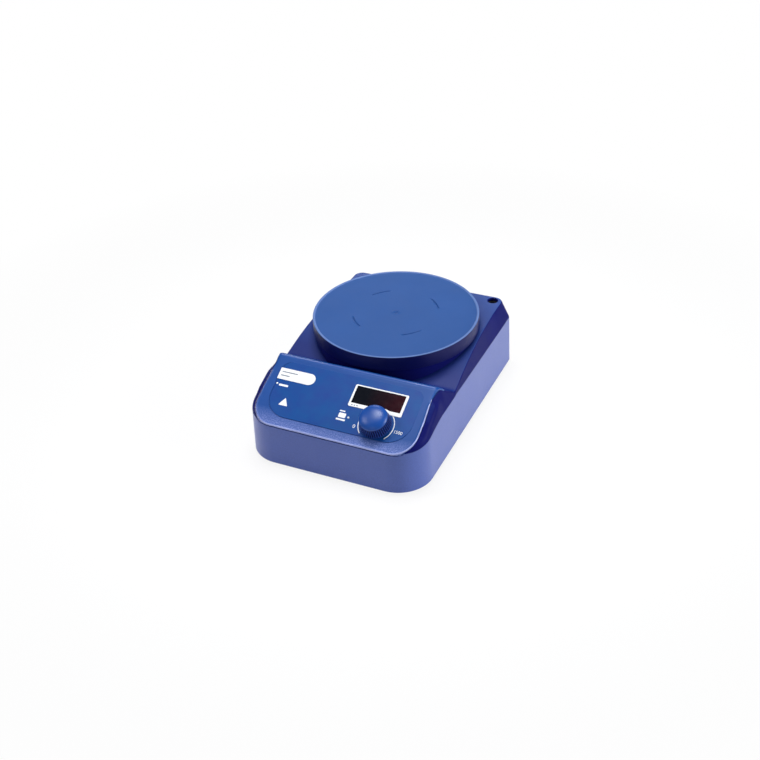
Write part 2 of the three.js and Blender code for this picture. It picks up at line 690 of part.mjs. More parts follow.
function buildKnob() {
  const skirt = plate(flutedShape(skirtRadius, 30, 0.7), knobBase, skirtTop);
  const dome = [[0, 4]];
  dome.push([domeRadius, 4], [domeRadius, skirtTop + 0.4]);
  const domeSteps = 6;
  for (let i = 1; i <= domeSteps; i += 1) {
    const angle = (i / domeSteps) * (Math.PI / 2);
    const z = skirtTop + 0.4 + (domeTop - skirtTop - 0.4) * Math.sin(angle);
    dome.push([i === domeSteps ? 0 : domeRadius * Math.cos(angle) ** 0.8, z]);
  }
  const hollow = ring(5.4, 10.8, -1, 6.5, 24);
  const nutRoom = rod(8, -1, 3, 0, 0, 24);
  const bore = rod(shaftRadius + 0.1, -1, 13.2, 0, 0, 24);
  return cut(joined(skirt, turned(dome, 36)), hollow, nutRoom, bore);
}

function addKnobAndPotentiometer() {
  const place = [knobX, knobSlope, 0];
  piece(panel, "speed_knob", buildKnob(), knobPlastic, place);
  piece(panel, "potentiometer_shaft", turned([
    [0, -8], [shaftRadius, -8], [shaftRadius, 12.4], [shaftRadius - 0.5, 12.9], [0, 12.9],
  ], 24), brass, place);
  const can = joined(rod(8.2, boardTop + gap, -4.6, 0, 0, 24), rod(bushRadius, -6, 2.4, 0, 0, 24));
  const bore = rod(shaftRadius + 0.15, -8.6, 5, 0, 0, 24);
  piece(panel, "potentiometer_body", cut(can, bore), zincSteel, place);
  const nut = turned([
    [bushRadius + 0.2, gap], [6.6, gap], [6.6, 2.3], [bushRadius + 0.2, 2.3], [bushRadius + 0.2, gap],
  ], 6);
  piece(panel, "potentiometer_nut", cut(nut, rod(bushRadius + 0.2, -2, 5, 0, 0, 24)), brass, place);
}

function addDisplay() {
  const opening = displayOpening;
  const hole = plate(boxOutline(opening, 0, 0.6), -5, 5, 2);
  const surround = plate(boxOutline(displayFrame, 0, 1.2), -frameDepth, 0.3, 3);
  piece(panel, "display_frame", cut(surround, hole), whiteInk);
  piece(panel, "display_window", plate(boxOutline(opening, -gap, 0.5), -1.6, 0, 2), darkLens);
  const digits = [0, 1, 2, 3].map((i) => {
    const x = opening.x0 + 2.2 + i * 8.9;
    return block(x, x + 8.2, opening.y0 + 1.8, opening.y1 - 1.8, -2.7, 1);
  });
  const moduleBlock = block(opening.x0 + 0.6, opening.x1 - 0.6, opening.y0, opening.y1, boardTop + gap, -2.2);
  piece(panel, "display_module", cut(moduleBlock, ...digits), blackPlastic);
}

function addPanelPieces() {
  piece(body, "control_panel", buildControlPanel(), panelPlastic);
  addDisplay();
  addKnobAndPotentiometer();
  piece(panel, "name_label", plate(labelShape(0), -0.5, 0.2), whiteInk);
  const lamp = turned([
    [0, boardTop + gap], [1.5, boardTop + gap], [1.5, -3], [lampRadius, -2.4], [lampRadius, 0.1], [0, 0.3],
  ], 12);
  piece(panel, "power_lamp", lamp, lampLens, [...powerLampPlace, 0]);
  piece(panel, "stir_lamp", lamp, lampLens, [...stirLampPlace, 0]);
  const boardHoles = boardPosts.map(([x, y]) => rod(1.4, -20, 0, x, y, 10));
  const board = block(-58.8, 58.8, 9.5, 50.5, boardUnder, boardTop);
  piece(panel, "control_board", cut(board, ...boardHoles), boardGreen);
  const boardScrew = screw(2.2, 1.4, 1, 8);
  boardPosts.forEach(([x, y], i) => {
    piece(panel, `control_board_screw_${i + 1}`, boardScrew, zincSteel, [x, y, boardUnder - gap]);
  });
}

// ---- Power entry, switch and supply -------------------------------------------------------------------

// The inlet and the switch are drawn with y = 0 on the outer face of the rear wall.
const socketZ = 5; // the plug socket's middle above the middle of the inlet
const drawerZ = -9;
const drawerHalfWidth = 11.7;
const drawerHalfHeight = 3.7;

function buildInlet() {
  const w = inletHalfWidth;
  const h = inletHalfHeight;
  const flange = geometryOf(plate(roundedRectangle(-w - 2, w + 2, -h - 2, h + 2, 2), 0, 2, 3));
  flange.rotateX(Math.PI / 2);
  flange.translate(0, 2 + gap, 0);
  const shell = joined(block(-w, w, -22, 1, -h, h), solid(flange));
  const socket = block(-11.8, 11.8, -16, 5, socketZ - 7.8, socketZ + 7.8);
  const slot = block(-drawerHalfWidth - gap, drawerHalfWidth + gap, -19, 5,
    drawerZ - drawerHalfHeight - gap, drawerZ + drawerHalfHeight + gap);
  const pins = [[-7, -1.5], [0, 2.5], [7, -1.5]].map(([x, z]) =>
    block(x - 1, x + 1, -17, -1, socketZ + z - 2, socketZ + z + 2));
  return joined(cut(shell, socket, slot), ...pins);
}

function addPowerEntry() {
  const place = [inletX, halfDepth, inletZ];
  piece(body, "power_inlet", buildInlet(), blackPlastic, place);
  const h = drawerHalfHeight;
  const drawer = cut(
    block(-drawerHalfWidth, drawerHalfWidth, -17, 2.8, drawerZ - h, drawerZ + h),
    block(-10.4, 10.4, -15, -8, drawerZ - 2.7, drawerZ + 8),
    block(-4, 4, 1.2, 5, drawerZ - 5, drawerZ - 2),
  );
  piece(body, "fuse_drawer", drawer, blackPlastic, place);
  const fuse = rod(2.6, -10, 10, 0, 0, 16);
  const fusePlace = [inletX, halfDepth - 11.5, inletZ + drawerZ + 0.1];
  piece(body, "fuse", fuse, glassTube, fusePlace, [0, Math.PI / 2, 0]);
}

const pivotDepth = 3; // the rocker's pivot lies this far inside the wall's outer face
const rockerTilt = THREE.MathUtils.degToRad(10);

function addSwitch() {
  const w = switchHalfWidth;
  const h = switchHalfHeight;
  const bezel = block(-w - 1, w + 1, gap, 1.7, -h - 1, h + 1);
  const pocket = block(-w + 1.3, w - 1.3, -8, 5, -h + 1, h - 1);
  const shell = cut(joined(block(-w, w, -14, 1, -h, h), bezel), pocket);
  piece(body, "switch_body", shell, blackPlastic, [switchX, halfDepth, switchZ]);
  const paddle = bar([
    [-1, 0], [1, -7], [5, -7.4], [4.2, 0], [5, 7.4], [1, 7],
  ], -w + 1.6, w - 1.6);
  const paddlePlace = [switchX, halfDepth - pivotDepth, switchZ];
  piece(body, "rocker_paddle", paddle, blackPlastic, paddlePlace, [-rockerTilt, 0, 0]);
}

function addSupply() {
  const holes = supplyPosts.map(([x, y]) => rod(1.5, 5, 15, x, y, 10));
  const boardThickness = 1.6;
  const top = supplyBoardZ + boardThickness;
  piece(body, "supply_board", cut(block(-50, 42, -76, -22, supplyBoardZ, top), ...holes), boardGreen);
  const supplyScrew = screw(2.4, 1.4, 1, 6);
  supplyPosts.forEach(([x, y], i) => {
    piece(body, `supply_screw_${i + 1}`, supplyScrew, zincSteel, [x, y, top + 0.1], upsideDown);
  });
  const core = block(-16, 16, -13, 13, 0, 6);
  const winding = block(-11, 11, -11, 11, 5, 17);
  const yoke = block(-16, 16, -9, 9, 16, 22);
  const legs = [-14, 14].map((x) => block(x - 2, x + 2, -9, 9, 5, 17));
  piece(body, "transformer", joined(core, winding, yoke, ...legs), tapeYellow, [-22, -50, top + gap]);
  const capacitor = turned([
    [0, 0], [6.5, 0], [6.5, 2], [6.1, 2.6], [6.5, 3.2], [6.5, 17.5], [6, 18], [0, 18],
  ], 16);
  piece(body, "capacitor", capacitor, blackPlastic, [20, -60, top + gap]);
}

function addLeads() {
  // The ribbon hangs from the control board and folds down to the supply board.
  const ribbon = bar([[-62, 30.6], [-62, 12], [-54, 11], [-54, 12], [-61, 12.8], [-61, 31]], -2, 10);
  piece(body, "ribbon_cable", ribbon, leadGrey);
  const motorRoute = [[34, -24, 12.6], [38, -18, 16], [40, -6, 16], [34, 6, 15.2]];
  piece(body, "motor_lead", lead(1.5, motorRoute), leadGrey);
  piece(body, "mains_lead", lead(2, [
    [inletX, 78, 22], [-44, 66, 17], [-53, 30, 10], [-54, -6, 11], [-50, -30, 17], [-40, -40, 14.4],
  ]), blackRubber);
}

addCase();
addPlate();
addDrive();
addPanelPieces();
addPowerEntry();
addSwitch();
addSupply();
addLeads();

export default stirrer;
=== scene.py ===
"""Looks of a compact laboratory magnetic stirrer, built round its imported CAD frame.

Lengths named here are in millimetres and the meshes are in metres. "Body" coordinates have their zero
at the middle of the housing's lower edge, with the front towards -Y. "Panel" coordinates lie on the
sloping control panel: x across, t up the slope from the front seam, n outwards.
"""
import json
import math

import bmesh
import bpy
from mathutils import Matrix, Vector


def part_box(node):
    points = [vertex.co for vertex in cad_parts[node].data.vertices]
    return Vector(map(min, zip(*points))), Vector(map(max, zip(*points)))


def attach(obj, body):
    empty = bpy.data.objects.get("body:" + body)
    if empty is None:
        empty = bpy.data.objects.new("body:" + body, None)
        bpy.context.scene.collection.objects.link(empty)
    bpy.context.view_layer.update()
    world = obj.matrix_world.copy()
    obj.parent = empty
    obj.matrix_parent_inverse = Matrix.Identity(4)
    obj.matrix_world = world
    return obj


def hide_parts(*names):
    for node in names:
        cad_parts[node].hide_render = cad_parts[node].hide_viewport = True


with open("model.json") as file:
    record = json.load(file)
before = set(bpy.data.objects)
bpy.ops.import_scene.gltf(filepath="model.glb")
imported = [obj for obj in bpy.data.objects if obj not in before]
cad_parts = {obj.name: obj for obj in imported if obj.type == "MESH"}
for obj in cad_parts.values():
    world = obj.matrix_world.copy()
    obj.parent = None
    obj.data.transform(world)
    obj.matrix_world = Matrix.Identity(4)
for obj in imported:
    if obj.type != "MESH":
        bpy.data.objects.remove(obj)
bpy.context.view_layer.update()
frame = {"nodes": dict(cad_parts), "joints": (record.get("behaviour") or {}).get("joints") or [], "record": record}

MM = 0.001

# ---- Places and sizes taken from the frame ----


def node_box(node):
    """The lowest and highest corners of a CAD node, in millimetres."""
    low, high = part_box(node)
    return low / MM, high / MM


def nodes_named(prefix):
    return sorted(node for node in frame["nodes"] if node.startswith(prefix))


housing_low, housing_high = node_box("upper_housing")
plate_low, plate_high = node_box("top_plate")

FOOT = housing_low.z
MIDDLE_Y = (housing_low.y + housing_high.y) / 2
HALF_WIDTH = (housing_high.x - housing_low.x) / 2
HALF_DEPTH = (housing_high.y - housing_low.y) / 2
PLATE_RADIUS = (plate_high.x - plate_low.x) / 2
PLATE_Y = (plate_low.y + plate_high.y) / 2 - MIDDLE_Y
PLATE_TOP = plate_high.z - FOOT

# ---- Shape of the housing ----

WALL = 2.5
DRAFT = 1.1
FRONT_CORNER = 27
REAR_CORNER = 4
TOP_REAR_CORNER = 7
WALL_TOP = 43.3
FRONT_WALL_TOP = 34
WALL_RISE = 0.19
SHOULDER_START_Y = -58
SHOULDER_OUT = 0.75
SHOULDER_DOWN = 0.28
SEAM_INSET = 1.15
SEAM_Z = 34.8
SEAM_Y = -HALF_DEPTH + SEAM_INSET
PANEL_RISE = 0.485
PANEL_ANGLE = math.atan(PANEL_RISE)
PANEL_HALF_WIDTH = 68
PANEL_STRAIGHT_Y = -72
PANEL_WAIST_Y = -54
PANEL_WAIST_HALF_WIDTH = 66.6
PANEL_CORNER = 18
PANEL_BACK_Y = -37
PANEL_SKIN = 1.9
SEAM_GAP = 0.6
FRONT_SEAT = 1.0  # the panel's seat lies this far below its front edge
LEDGE = 2.3
CREST_RADIUS = 6
CREST_END_FALL = 1.3
BACK_HEIGHT = 24.2
BACK_FALL = 0.87
VALLEY_Y = -24
VALLEY_Z = 46.6
VALLEY_HALF_WIDTH = 73.4
VALLEY_ROUND = 2
DECK_Y = 50
DECK_Z = 58.7
DECK_NARROW_Y = 75
DECK_HALF_WIDTH = 68
PEDESTAL_RADIUS = 65.5
PEDESTAL_TOP = 64
ROD_HOLE = (60.2, 95.1)
ROD_HOLE_RADIUS = 4.3

BODY = Matrix.Translation((0, MIDDLE_Y * MM, FOOT * MM)) @ Matrix.Scale(MM, 4)
PANEL = BODY @ Matrix.Translation((0, SEAM_Y, SEAM_Z)) @ Matrix.Rotation(PANEL_ANGLE, 4, "X")
DRIVE = BODY @ Matrix.Translation((0, PLATE_Y, 0))


def panel_height(y):
    return SEAM_Z + PANEL_RISE * (y - SEAM_Y)


def crest_arc():
    """Middle and ends of the arc that joins the panel to the slope behind it."""
    steep = math.hypot(1, BACK_FALL) - math.hypot(1, PANEL_RISE)
    y = (BACK_HEIGHT - panel_height(0) - CREST_RADIUS * steep) / (PANEL_RISE + BACK_FALL)
    z = panel_height(y) - CREST_RADIUS * math.hypot(1, PANEL_RISE)
    front = y - CREST_RADIUS * math.sin(PANEL_ANGLE)
    back = y + CREST_RADIUS * math.sin(math.atan(BACK_FALL))
    return y, z, front, back


CREST_Y, CREST_Z, CREST_FRONT, CREST_BACK = crest_arc()


def top_height(y):
    """Height of the top along the middle: panel, crest, back slope, valley and deck."""
    if y <= CREST_FRONT:
        return panel_height(y)
    if y < CREST_BACK:
        return CREST_Z + math.sqrt(CREST_RADIUS**2 - (y - CREST_Y) ** 2)
    level = max(-1, min(1, (y - VALLEY_Y) / (DECK_Y - VALLEY_Y)))
    deck = DECK_Z - (DECK_Z - VALLEY_Z) * (1 - level) ** 2
    slope = BACK_HEIGHT - BACK_FALL * y
    if y > DECK_Y:
        return DECK_Z
    return (deck + slope + math.hypot(deck - slope, VALLEY_ROUND)) / 2


EDGE_PLAN = [
    (PANEL_STRAIGHT_Y, PANEL_HALF_WIDTH),
    (PANEL_WAIST_Y, PANEL_WAIST_HALF_WIDTH),
    (CREST_Y, PANEL_HALF_WIDTH),
    (VALLEY_Y, VALLEY_HALF_WIDTH),
    (DECK_NARROW_Y, DECK_HALF_WIDTH),
]


def top_half_width(y):
    """Half width of the top: it changes evenly between the places of EDGE_PLAN."""
    if y <= PANEL_STRAIGHT_Y:
        return PANEL_HALF_WIDTH
    for (y0, width0), (y1, width1) in zip(EDGE_PLAN, EDGE_PLAN[1:]):
        if y < y1:
            return width0 + (width1 - width0) * (y - y0) / (y1 - y0)
    return DECK_HALF_WIDTH


def smooth_step(start, end, value):
    share = max(0, min(1, (value - start) / (end - start)))
    return share * share * (3 - 2 * share)


def edge_fall(y):
    """How far the top's side edges fall away at the two ends of the crest."""
    return CREST_END_FALL * smooth_step(-60, CREST_Y - 2, y) * smooth_step(VALLEY_Y - 4, PANEL_BACK_Y, y)


def wall_height(y):
    return min(WALL_TOP, FRONT_WALL_TOP + WALL_RISE * (y - SEAM_Y))


def shoulder_point(wall, edge):
    """A point of the side band: on the straight line beside the deck, bulging beside the panel."""
    bulge = 1 - smooth_step(SHOULDER_START_Y, CREST_Y, edge.y)
    out = 0.5 + (SHOULDER_OUT - 0.5) * bulge
    down = 0.5 + (SHOULDER_DOWN - 0.5) * bulge
    point = edge.lerp(wall, out)
    point.z = edge.z + (wall.z - edge.z) * down
    return point


def steps(start, end, count):
    return [start + (end - start) * i / count for i in range(count + 1)]


def rounded(points, radii, count=4):
    """A path through points whose corners are rounded by the given radii."""
    path = [points[0]]
    for before, corner, after, radius in zip(points, points[1:], points[2:], radii[1:]):
        if radius == 0:
            path.append(corner)
            continue
        towards, away = before - corner, after - corner
        start = corner + towards * min(0.45, radius / max(towards.length, 1e-6))
        end = corner + away * min(0.45, radius / max(away.length, 1e-6))
        for share in steps(0, 1, count):
            path.append(start * (1 - share) ** 2 + corner * 2 * share * (1 - share) + end * share**2)
    path.append(points[-1])
    return path


def outline_stations(inset):
    """Plan points round the right half, front to rear: wall foot, wall top, edge of the top."""
    stations = []

    def corner(y, angles, radius, edge_radius, edge_half_width, edge_y):
        for angle in angles:
            turn = Vector((math.cos(angle), math.sin(angle)))
            middle = Vector((HALF_WIDTH - radius, y))
            edge_middle = Vector((edge_half_width - edge_radius, edge_y))
            stations.append((
                middle + turn * (radius - inset),
                middle + turn * (radius - inset - DRAFT),
                edge_middle + turn * max(edge_radius - inset, 0.3),
            ))

    def middle_station(foot_y, side, edge_y):
        stations.append((
            Vector((0, foot_y - side * inset)),
            Vector((0, foot_y - side * (inset + DRAFT))),
            Vector((0, edge_y - side * inset)),
        ))

    middle_station(-HALF_DEPTH, -1, SEAM_Y)
    corner(FRONT_CORNER - HALF_DEPTH, steps(-math.pi / 2, 0, 18), FRONT_CORNER, PANEL_CORNER,
           PANEL_HALF_WIDTH, SEAM_Y + PANEL_CORNER)
    sides = steps(PANEL_STRAIGHT_Y, CREST_FRONT - 1, 8) + steps(CREST_FRONT, CREST_BACK, 12)
    sides += steps(CREST_BACK + 0.6, VALLEY_Y - 4, 8) + steps(VALLEY_Y - 3, VALLEY_Y + 8, 10)
    sides += steps(VALLEY_Y + 11, DECK_Y, 20) + steps(DECK_Y + 6, HALF_DEPTH - REAR_CORNER - 6, 6)
    for y in sides:
        stations.append((
            Vector((HALF_WIDTH - inset, y)),
            Vector((HALF_WIDTH - inset - DRAFT, y)),
            Vector((top_half_width(y) - inset, y)),
        ))
    rear_y = HALF_DEPTH - REAR_CORNER
    corner(rear_y, steps(0, math.pi / 2, 8), REAR_CORNER, TOP_REAR_CORNER, top_half_width(rear_y),
           HALF_DEPTH - DRAFT - TOP_REAR_CORNER)
    middle_station(HALF_DEPTH, 1, HALF_DEPTH - DRAFT)
    return stations


# ---- Mesh tools ----


def linked(name, data):
    """A new object that holds the data, put in the scene."""
    made = bpy.data.objects.new(name, data)
    bpy.context.scene.collection.objects.link(made)
    return made


def evaluated_mesh(made):
    """The mesh an object has once its modifiers have run."""
    bpy.context.view_layer.update()
    graph = bpy.context.evaluated_depsgraph_get()
    return bpy.data.meshes.new_from_object(made.evaluated_get(graph))


def moved(place, x, y, z=0):
    return place @ Matrix.Translation((x, y, z))


def new_object(name, verts, faces, place=BODY, sharp_degrees=35):
    """A smooth-shaded mesh object from points in a local frame, with its sharp edges kept sharp."""
    mesh = bpy.data.meshes.new(name)
    mesh.from_pydata([place @ Vector(vert) for vert in verts], [], faces)
    tidy_mesh(mesh)
    shade(mesh, sharp_degrees)
    return linked(name, mesh)


def tidy_mesh(mesh):
    """Merges points that coincide, drops faces with no area, and turns the faces outwards."""
    work = bmesh.new()
    work.from_mesh(mesh)
    bmesh.ops.remove_doubles(work, verts=work.verts, dist=1e-7)
    bmesh.ops.dissolve_degenerate(work, edges=work.edges, dist=1e-8)
    bmesh.ops.recalc_face_normals(work, faces=work.faces)
    work.to_mesh(mesh)
    work.free()
    mesh.validate()


def shade(mesh, sharp_degrees=35):
    mesh.shade_smooth()
    mesh.set_sharp_from_angle(angle=math.radians(sharp_degrees))


def grid_faces(rows, columns, closed_rows=False, closed_columns=False):
    """Quads between the points of a grid that is stored row by row."""
    faces = []
    for i in range(rows if closed_rows else rows - 1):
        for j in range(columns if closed_columns else columns - 1):
            row, next_row = i * columns, (i + 1) % rows * columns
            next_j = (j + 1) % columns
            faces.append((row + j, next_row + j, next_row + next_j, row + next_j))
    return faces


def mirrored_loft(name, half, closed):
    """A solid through stations given for the right half; each is a path from middle line to middle line."""
    left = [[Vector((-p.x, p.y, p.z)) for p in row] for row in half]
    if closed:
        rows = half + left[-2:0:-1]
    else:
        rows = left[::-1] + half[1:]
    verts = [point for row in rows for point in row]
    return new_object(name, verts, grid_faces(len(rows), len(rows[0]), closed_rows=closed))


def turned(name, profile, segments, place, shape=None):
    """A turned solid: profile points are (radius, z), starting and ending on the axis or closing.

    shape, if given, turns (radius, z, angle) into a point's own radius and z.
    """
    verts = []
    for radius, z in profile:
        for k in range(segments):
            angle = 2 * math.pi * k / segments
            r, height = shape(radius, z, angle) if shape else (radius, z)
            verts.append((r * math.cos(angle), r * math.sin(angle), height))
    closed = profile[0] == profile[-1]
    if closed:
        verts = verts[:-segments]
    rows = len(verts) // segments
    faces = grid_faces(rows, segments, closed_rows=closed, closed_columns=True)
    return new_object(name, verts, faces, place)


def soft_profile(corners, count=5):
    """A turned profile from (radius, z, rounding) corners."""
    points = [Vector((radius, z)) for radius, z, _ in corners]
    return [tuple(p) for p in rounded(points, [corner[2] for corner in corners], count)]


def slab(name, outline, low, high, place=BODY, edge=0.0):
    """A flat plate through a closed outline, with its upper edge rounded off by edge."""
    levels = [(low, 0.0)]
    if edge:
        for angle in steps(0, math.pi / 2, 3):
            levels.append((high - edge + edge * math.sin(angle), edge * (1 - math.cos(angle))))
    else:
        levels.append((high, 0.0))
    count = len(outline)
    verts = []
    for z, inset in levels:
        ring = inset_outline(outline, inset)
        verts += [(p.x, p.y, z) for p in ring]
    faces = grid_faces(len(levels), count, closed_columns=True)
    faces.append(tuple(range(count))[::-1])
    faces.append(tuple(range(count * (len(levels) - 1), count * len(levels))))
    return new_object(name, verts, faces, place, 50)


def inset_outline(outline, distance):
    """The outline moved inwards; it runs anticlockwise."""
    if not distance:
        return outline
    ring = []
    count = len(outline)
    for i, point in enumerate(outline):
        ahead = (outline[(i + 1) % count] - point).normalized()
        behind = (point - outline[i - 1]).normalized()
        normal = Vector((-(ahead + behind).y, (ahead + behind).x)).normalized()
        share = max(0.5, normal.dot(Vector((-ahead.y, ahead.x))))
        ring.append(point + normal * distance / share)
    return ring


def rounded_box(x0, x1, y0, y1, radii, count=8):
    """A rectangle's outline, anticlockwise from the lower left, with one radius for each corner."""
    corners = [
        (x0, y0, 1, 1, math.pi),
        (x1, y0, -1, 1, 1.5 * math.pi),
        (x1, y1, -1, -1, 0),
        (x0, y1, 1, -1, math.pi / 2),
    ]
    outline = []
    for (x, y, sx, sy, start), radius in zip(corners, radii):
        middle = Vector((x + sx * radius, y + sy * radius))
        for angle in steps(start, start + math.pi / 2, count):
            outline.append(middle + radius * Vector((math.cos(angle), math.sin(angle))))
    return outline


def arc(x, y, radius, start, end, count):
    return [Vector((x + radius * math.cos(a), y + radius * math.sin(a))) for a in steps(start, end, count)]


def circle(x, y, radius, count):
    return arc(x, y, radius, 0, 2 * math.pi, count)[:-1]


def combine(target, tools, operation):
    """Joins the tools to the target or cuts them from it, and removes them."""
    for tool in tools:
        step = target.modifiers.new("combine", "BOOLEAN")
        step.operation = operation
        step.solver = "EXACT"
        step.object = tool
        result, old = evaluated_mesh(target), target.data
        target.modifiers.clear()
        target.data = result
        bpy.data.meshes.remove(old)
        bpy.data.objects.remove(tool)
    shade(target.data)
    return target


def cut(target, *tools):
    return combine(target, tools, "DIFFERENCE")


def join(target, *tools):
    return combine(target, tools, "UNION")


def dress(made, slot, replaces=(), finish=None, body="base"):
    """Gives a finished piece the finish of its slot, or the finish given, parents it to its body and hides the CAD
    nodes it stands for.
    """
    made.data.materials.clear()
    made.data.materials.append(finish or FINISHES[slot])
    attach(made, body)
    even = made.modifiers.new("even_normals", "WEIGHTED_NORMAL")
    even.keep_sharp = True
    if replaces:
        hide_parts(*replaces)


# ---- Materials ----


def add_node(tree, kind, inputs, **settings):
    """Adds a node; each of its inputs is given a value, or another node's output."""
    node = tree.nodes.new(kind)
    for key, value in settings.items():
        setattr(node, key, value)
    for key, value in inputs.items():
        if isinstance(value, bpy.types.NodeSocket):
            tree.links.new(value, node.inputs[key])
        else:
            node.inputs[key].default_value = value
    return node


class Finish:
    """A node material with its Principled shader and short ways to add detail to it."""

    def __init__(self, name, color, roughness, metallic=0.0):
        self.material = bpy.data.materials.new(name)
        self.material.use_nodes = True
        self.tree = self.material.node_tree
        self.shader = self.tree.nodes["Principled BSDF"]
        self.set("Base Color", (*color, 1))
        self.set("Roughness", roughness)
        self.set("Metallic", metallic)
        self.place = self.add("ShaderNodeTexCoord").outputs["Object"]

    def set(self, name, value):
        self.shader.inputs[name].default_value = value

    def connect(self, socket, name):
        self.tree.links.new(socket, self.shader.inputs[name])

    def add(self, kind, inputs=None, **settings):
        return add_node(self.tree, kind, inputs or {}, **settings)

    def math(self, operation, first, second):
        return self.add("ShaderNodeMath", {0: first, 1: second}, operation=operation).outputs[0]

    def times(self, first, second):
        return self.math("MULTIPLY", first, second)

    def vector(self, operation, *inputs):
        """The output sockets of a vector operation."""
        return self.add("ShaderNodeVectorMath", dict(enumerate(inputs)), operation=operation).outputs

    def part_of(self, socket, index):
        """The x, y or z part of a vector."""
        return self.add("ShaderNodeSeparateXYZ", {0: socket}).outputs[index]

    def noise(self, size_mm, detail, stretch=None):
        """Noise whose features are about size_mm across."""
        place = self.vector("MULTIPLY", self.place, stretch)[0] if stretch else self.place
        inputs = {"Vector": place, "Scale": 1 / (size_mm * MM), "Detail": detail, "Roughness": 0.55}
        return self.add("ShaderNodeTexNoise", inputs).outputs["Fac"]

    def remap(self, value, low, high, from_low=0.3, from_high=0.7):
        inputs = {0: value, 1: from_low, 2: from_high, 3: low, 4: high}
        return self.add("ShaderNodeMapRange", inputs).outputs[0]

    def blend(self, share, low, high):
        """A number that goes from low to high as share goes from 0 to 1."""
        return self.remap(share, low, high, 0, 1)

    def mix(self, share, first, second):
        """A colour that goes from the first to the second as share goes from 0 to 1."""
        colors = [c if isinstance(c, bpy.types.NodeSocket) else (*c, 1) for c in (first, second)]
        inputs = {0: share, 6: colors[0], 7: colors[1]}
        return self.add("ShaderNodeMix", inputs, data_type="RGBA").outputs[2]

    def edges(self, low=0.51, high=0.58):
        """How sharply the surface turns outwards: 1 on sharp outer edges, for wear or for a painted highlight."""
        point = self.add("ShaderNodeNewGeometry").outputs["Pointiness"]
        return self.remap(point, 0, 1, low, high)

    def normal(self):
        return self.add("ShaderNodeNewGeometry").outputs["Normal"]

    def upward(self):
        """The upward part of the surface's normal: 1 on level faces, 0 on upright ones."""
        return self.part_of(self.normal(), 2)

    def vary_color(self, base, amount, size_mm):
        """Slow changes of shade across the piece."""
        share = self.remap(self.noise(size_mm, 3), 0, 1)
        darker = tuple(c * (1 - amount) for c in base)
        lighter = tuple(min(1, c * (1 + amount)) for c in base)
        return self.mix(share, darker, lighter)

    def smudge(self, roughness):
        """Smudges in the gloss, in proportion to the roughness."""
        self.connect(self.remap(self.noise(16, 4), roughness * 0.88, roughness * 1.14), "Roughness")

    def smudge_round(self, roughness, size_mm):
        """Smudges in the gloss, by a fixed amount round a roughness that is itself a socket."""
        uneven = self.remap(self.noise(size_mm, 4), -0.02, 0.03)
        self.connect(self.math("ADD", roughness, uneven), "Roughness")

    def bump(self, heights):
        """Stacks bumps, each a (height socket, depth in mm)."""
        normal = None
        for height, depth in heights:
            inputs = {"Height": height, "Distance": depth * MM, "Strength": 1.0}
            if normal:
                inputs["Normal"] = normal
            normal = self.add("ShaderNodeBump", inputs).outputs[0]
        self.connect(normal, "Normal")

    def grain(self, size_mm, depth):
        """The fine grain of a mould over a slow unevenness."""
        self.bump([(self.noise(size_mm, 2), depth), (self.noise(6, 2), depth * 1.5)])


BLUE_WALL = (0.027, 0.067, 0.300)
BLUE_DECK = (0.024, 0.062, 0.260)
# painted shade: the deck's valley and its hollows round the pedestal
VALLEY_SHADE_BLUE = (0.006, 0.020, 0.160)
# painted shade: the dark of the side band, the pedestal and the left of the panel's bead
BAND_SHADE_BLUE = (0.006, 0.008, 0.110)
BLUE_PANEL = (0.005, 0.060, 0.275)
BLUE_PLATE = (0.018, 0.074, 0.262)
# painted shade: the plate's skirt
SKIRT_SHADE_BLUE = (0.004, 0.006, 0.078)
BLUE_KNOB = (0.003, 0.060, 0.310)
# painted light on the knob's skirt: a highlight on the rib crests, shade elsewhere
RIB_CREST_HIGHLIGHT = (0.025, 0.055, 0.260)
RIB_SHADE = (0.002, 0.003, 0.040)
FILM_TEAL = (0.003, 0.072, 0.285)
FILM_VIOLET = (0.008, 0.052, 0.265)
# painted sheen on the grain near the panel's front edge
PALE_GRAIN_SHEEN = (0.17, 0.23, 0.56)
# painted highlight along the top of the panel's crest
CREST_HIGHLIGHT = (0.26, 0.32, 0.62)
# painted highlight round the plate's rim
RIM_HIGHLIGHT = (0.16, 0.25, 0.52)
# painted highlight on the panel's bead
BEAD_HIGHLIGHT = (0.32, 0.38, 0.72)


def moulded_plastic(name, color, roughness, grain=0.35, depth=0.012, wear=0.35):
    """Moulded plastic: fine grain, slow shade changes, smudges in the gloss and paler worn edges."""
    finish = Finish(name, color, roughness)
    worn = tuple(min(1, c * 1.5 + 0.03) for c in color)
    shade_color = finish.vary_color(color, 0.07, 38)
    finish.connect(finish.mix(finish.times(finish.edges(), wear), shade_color, worn), "Base Color")
    finish.smudge(roughness)
    finish.grain(grain, depth)
    return finish.material


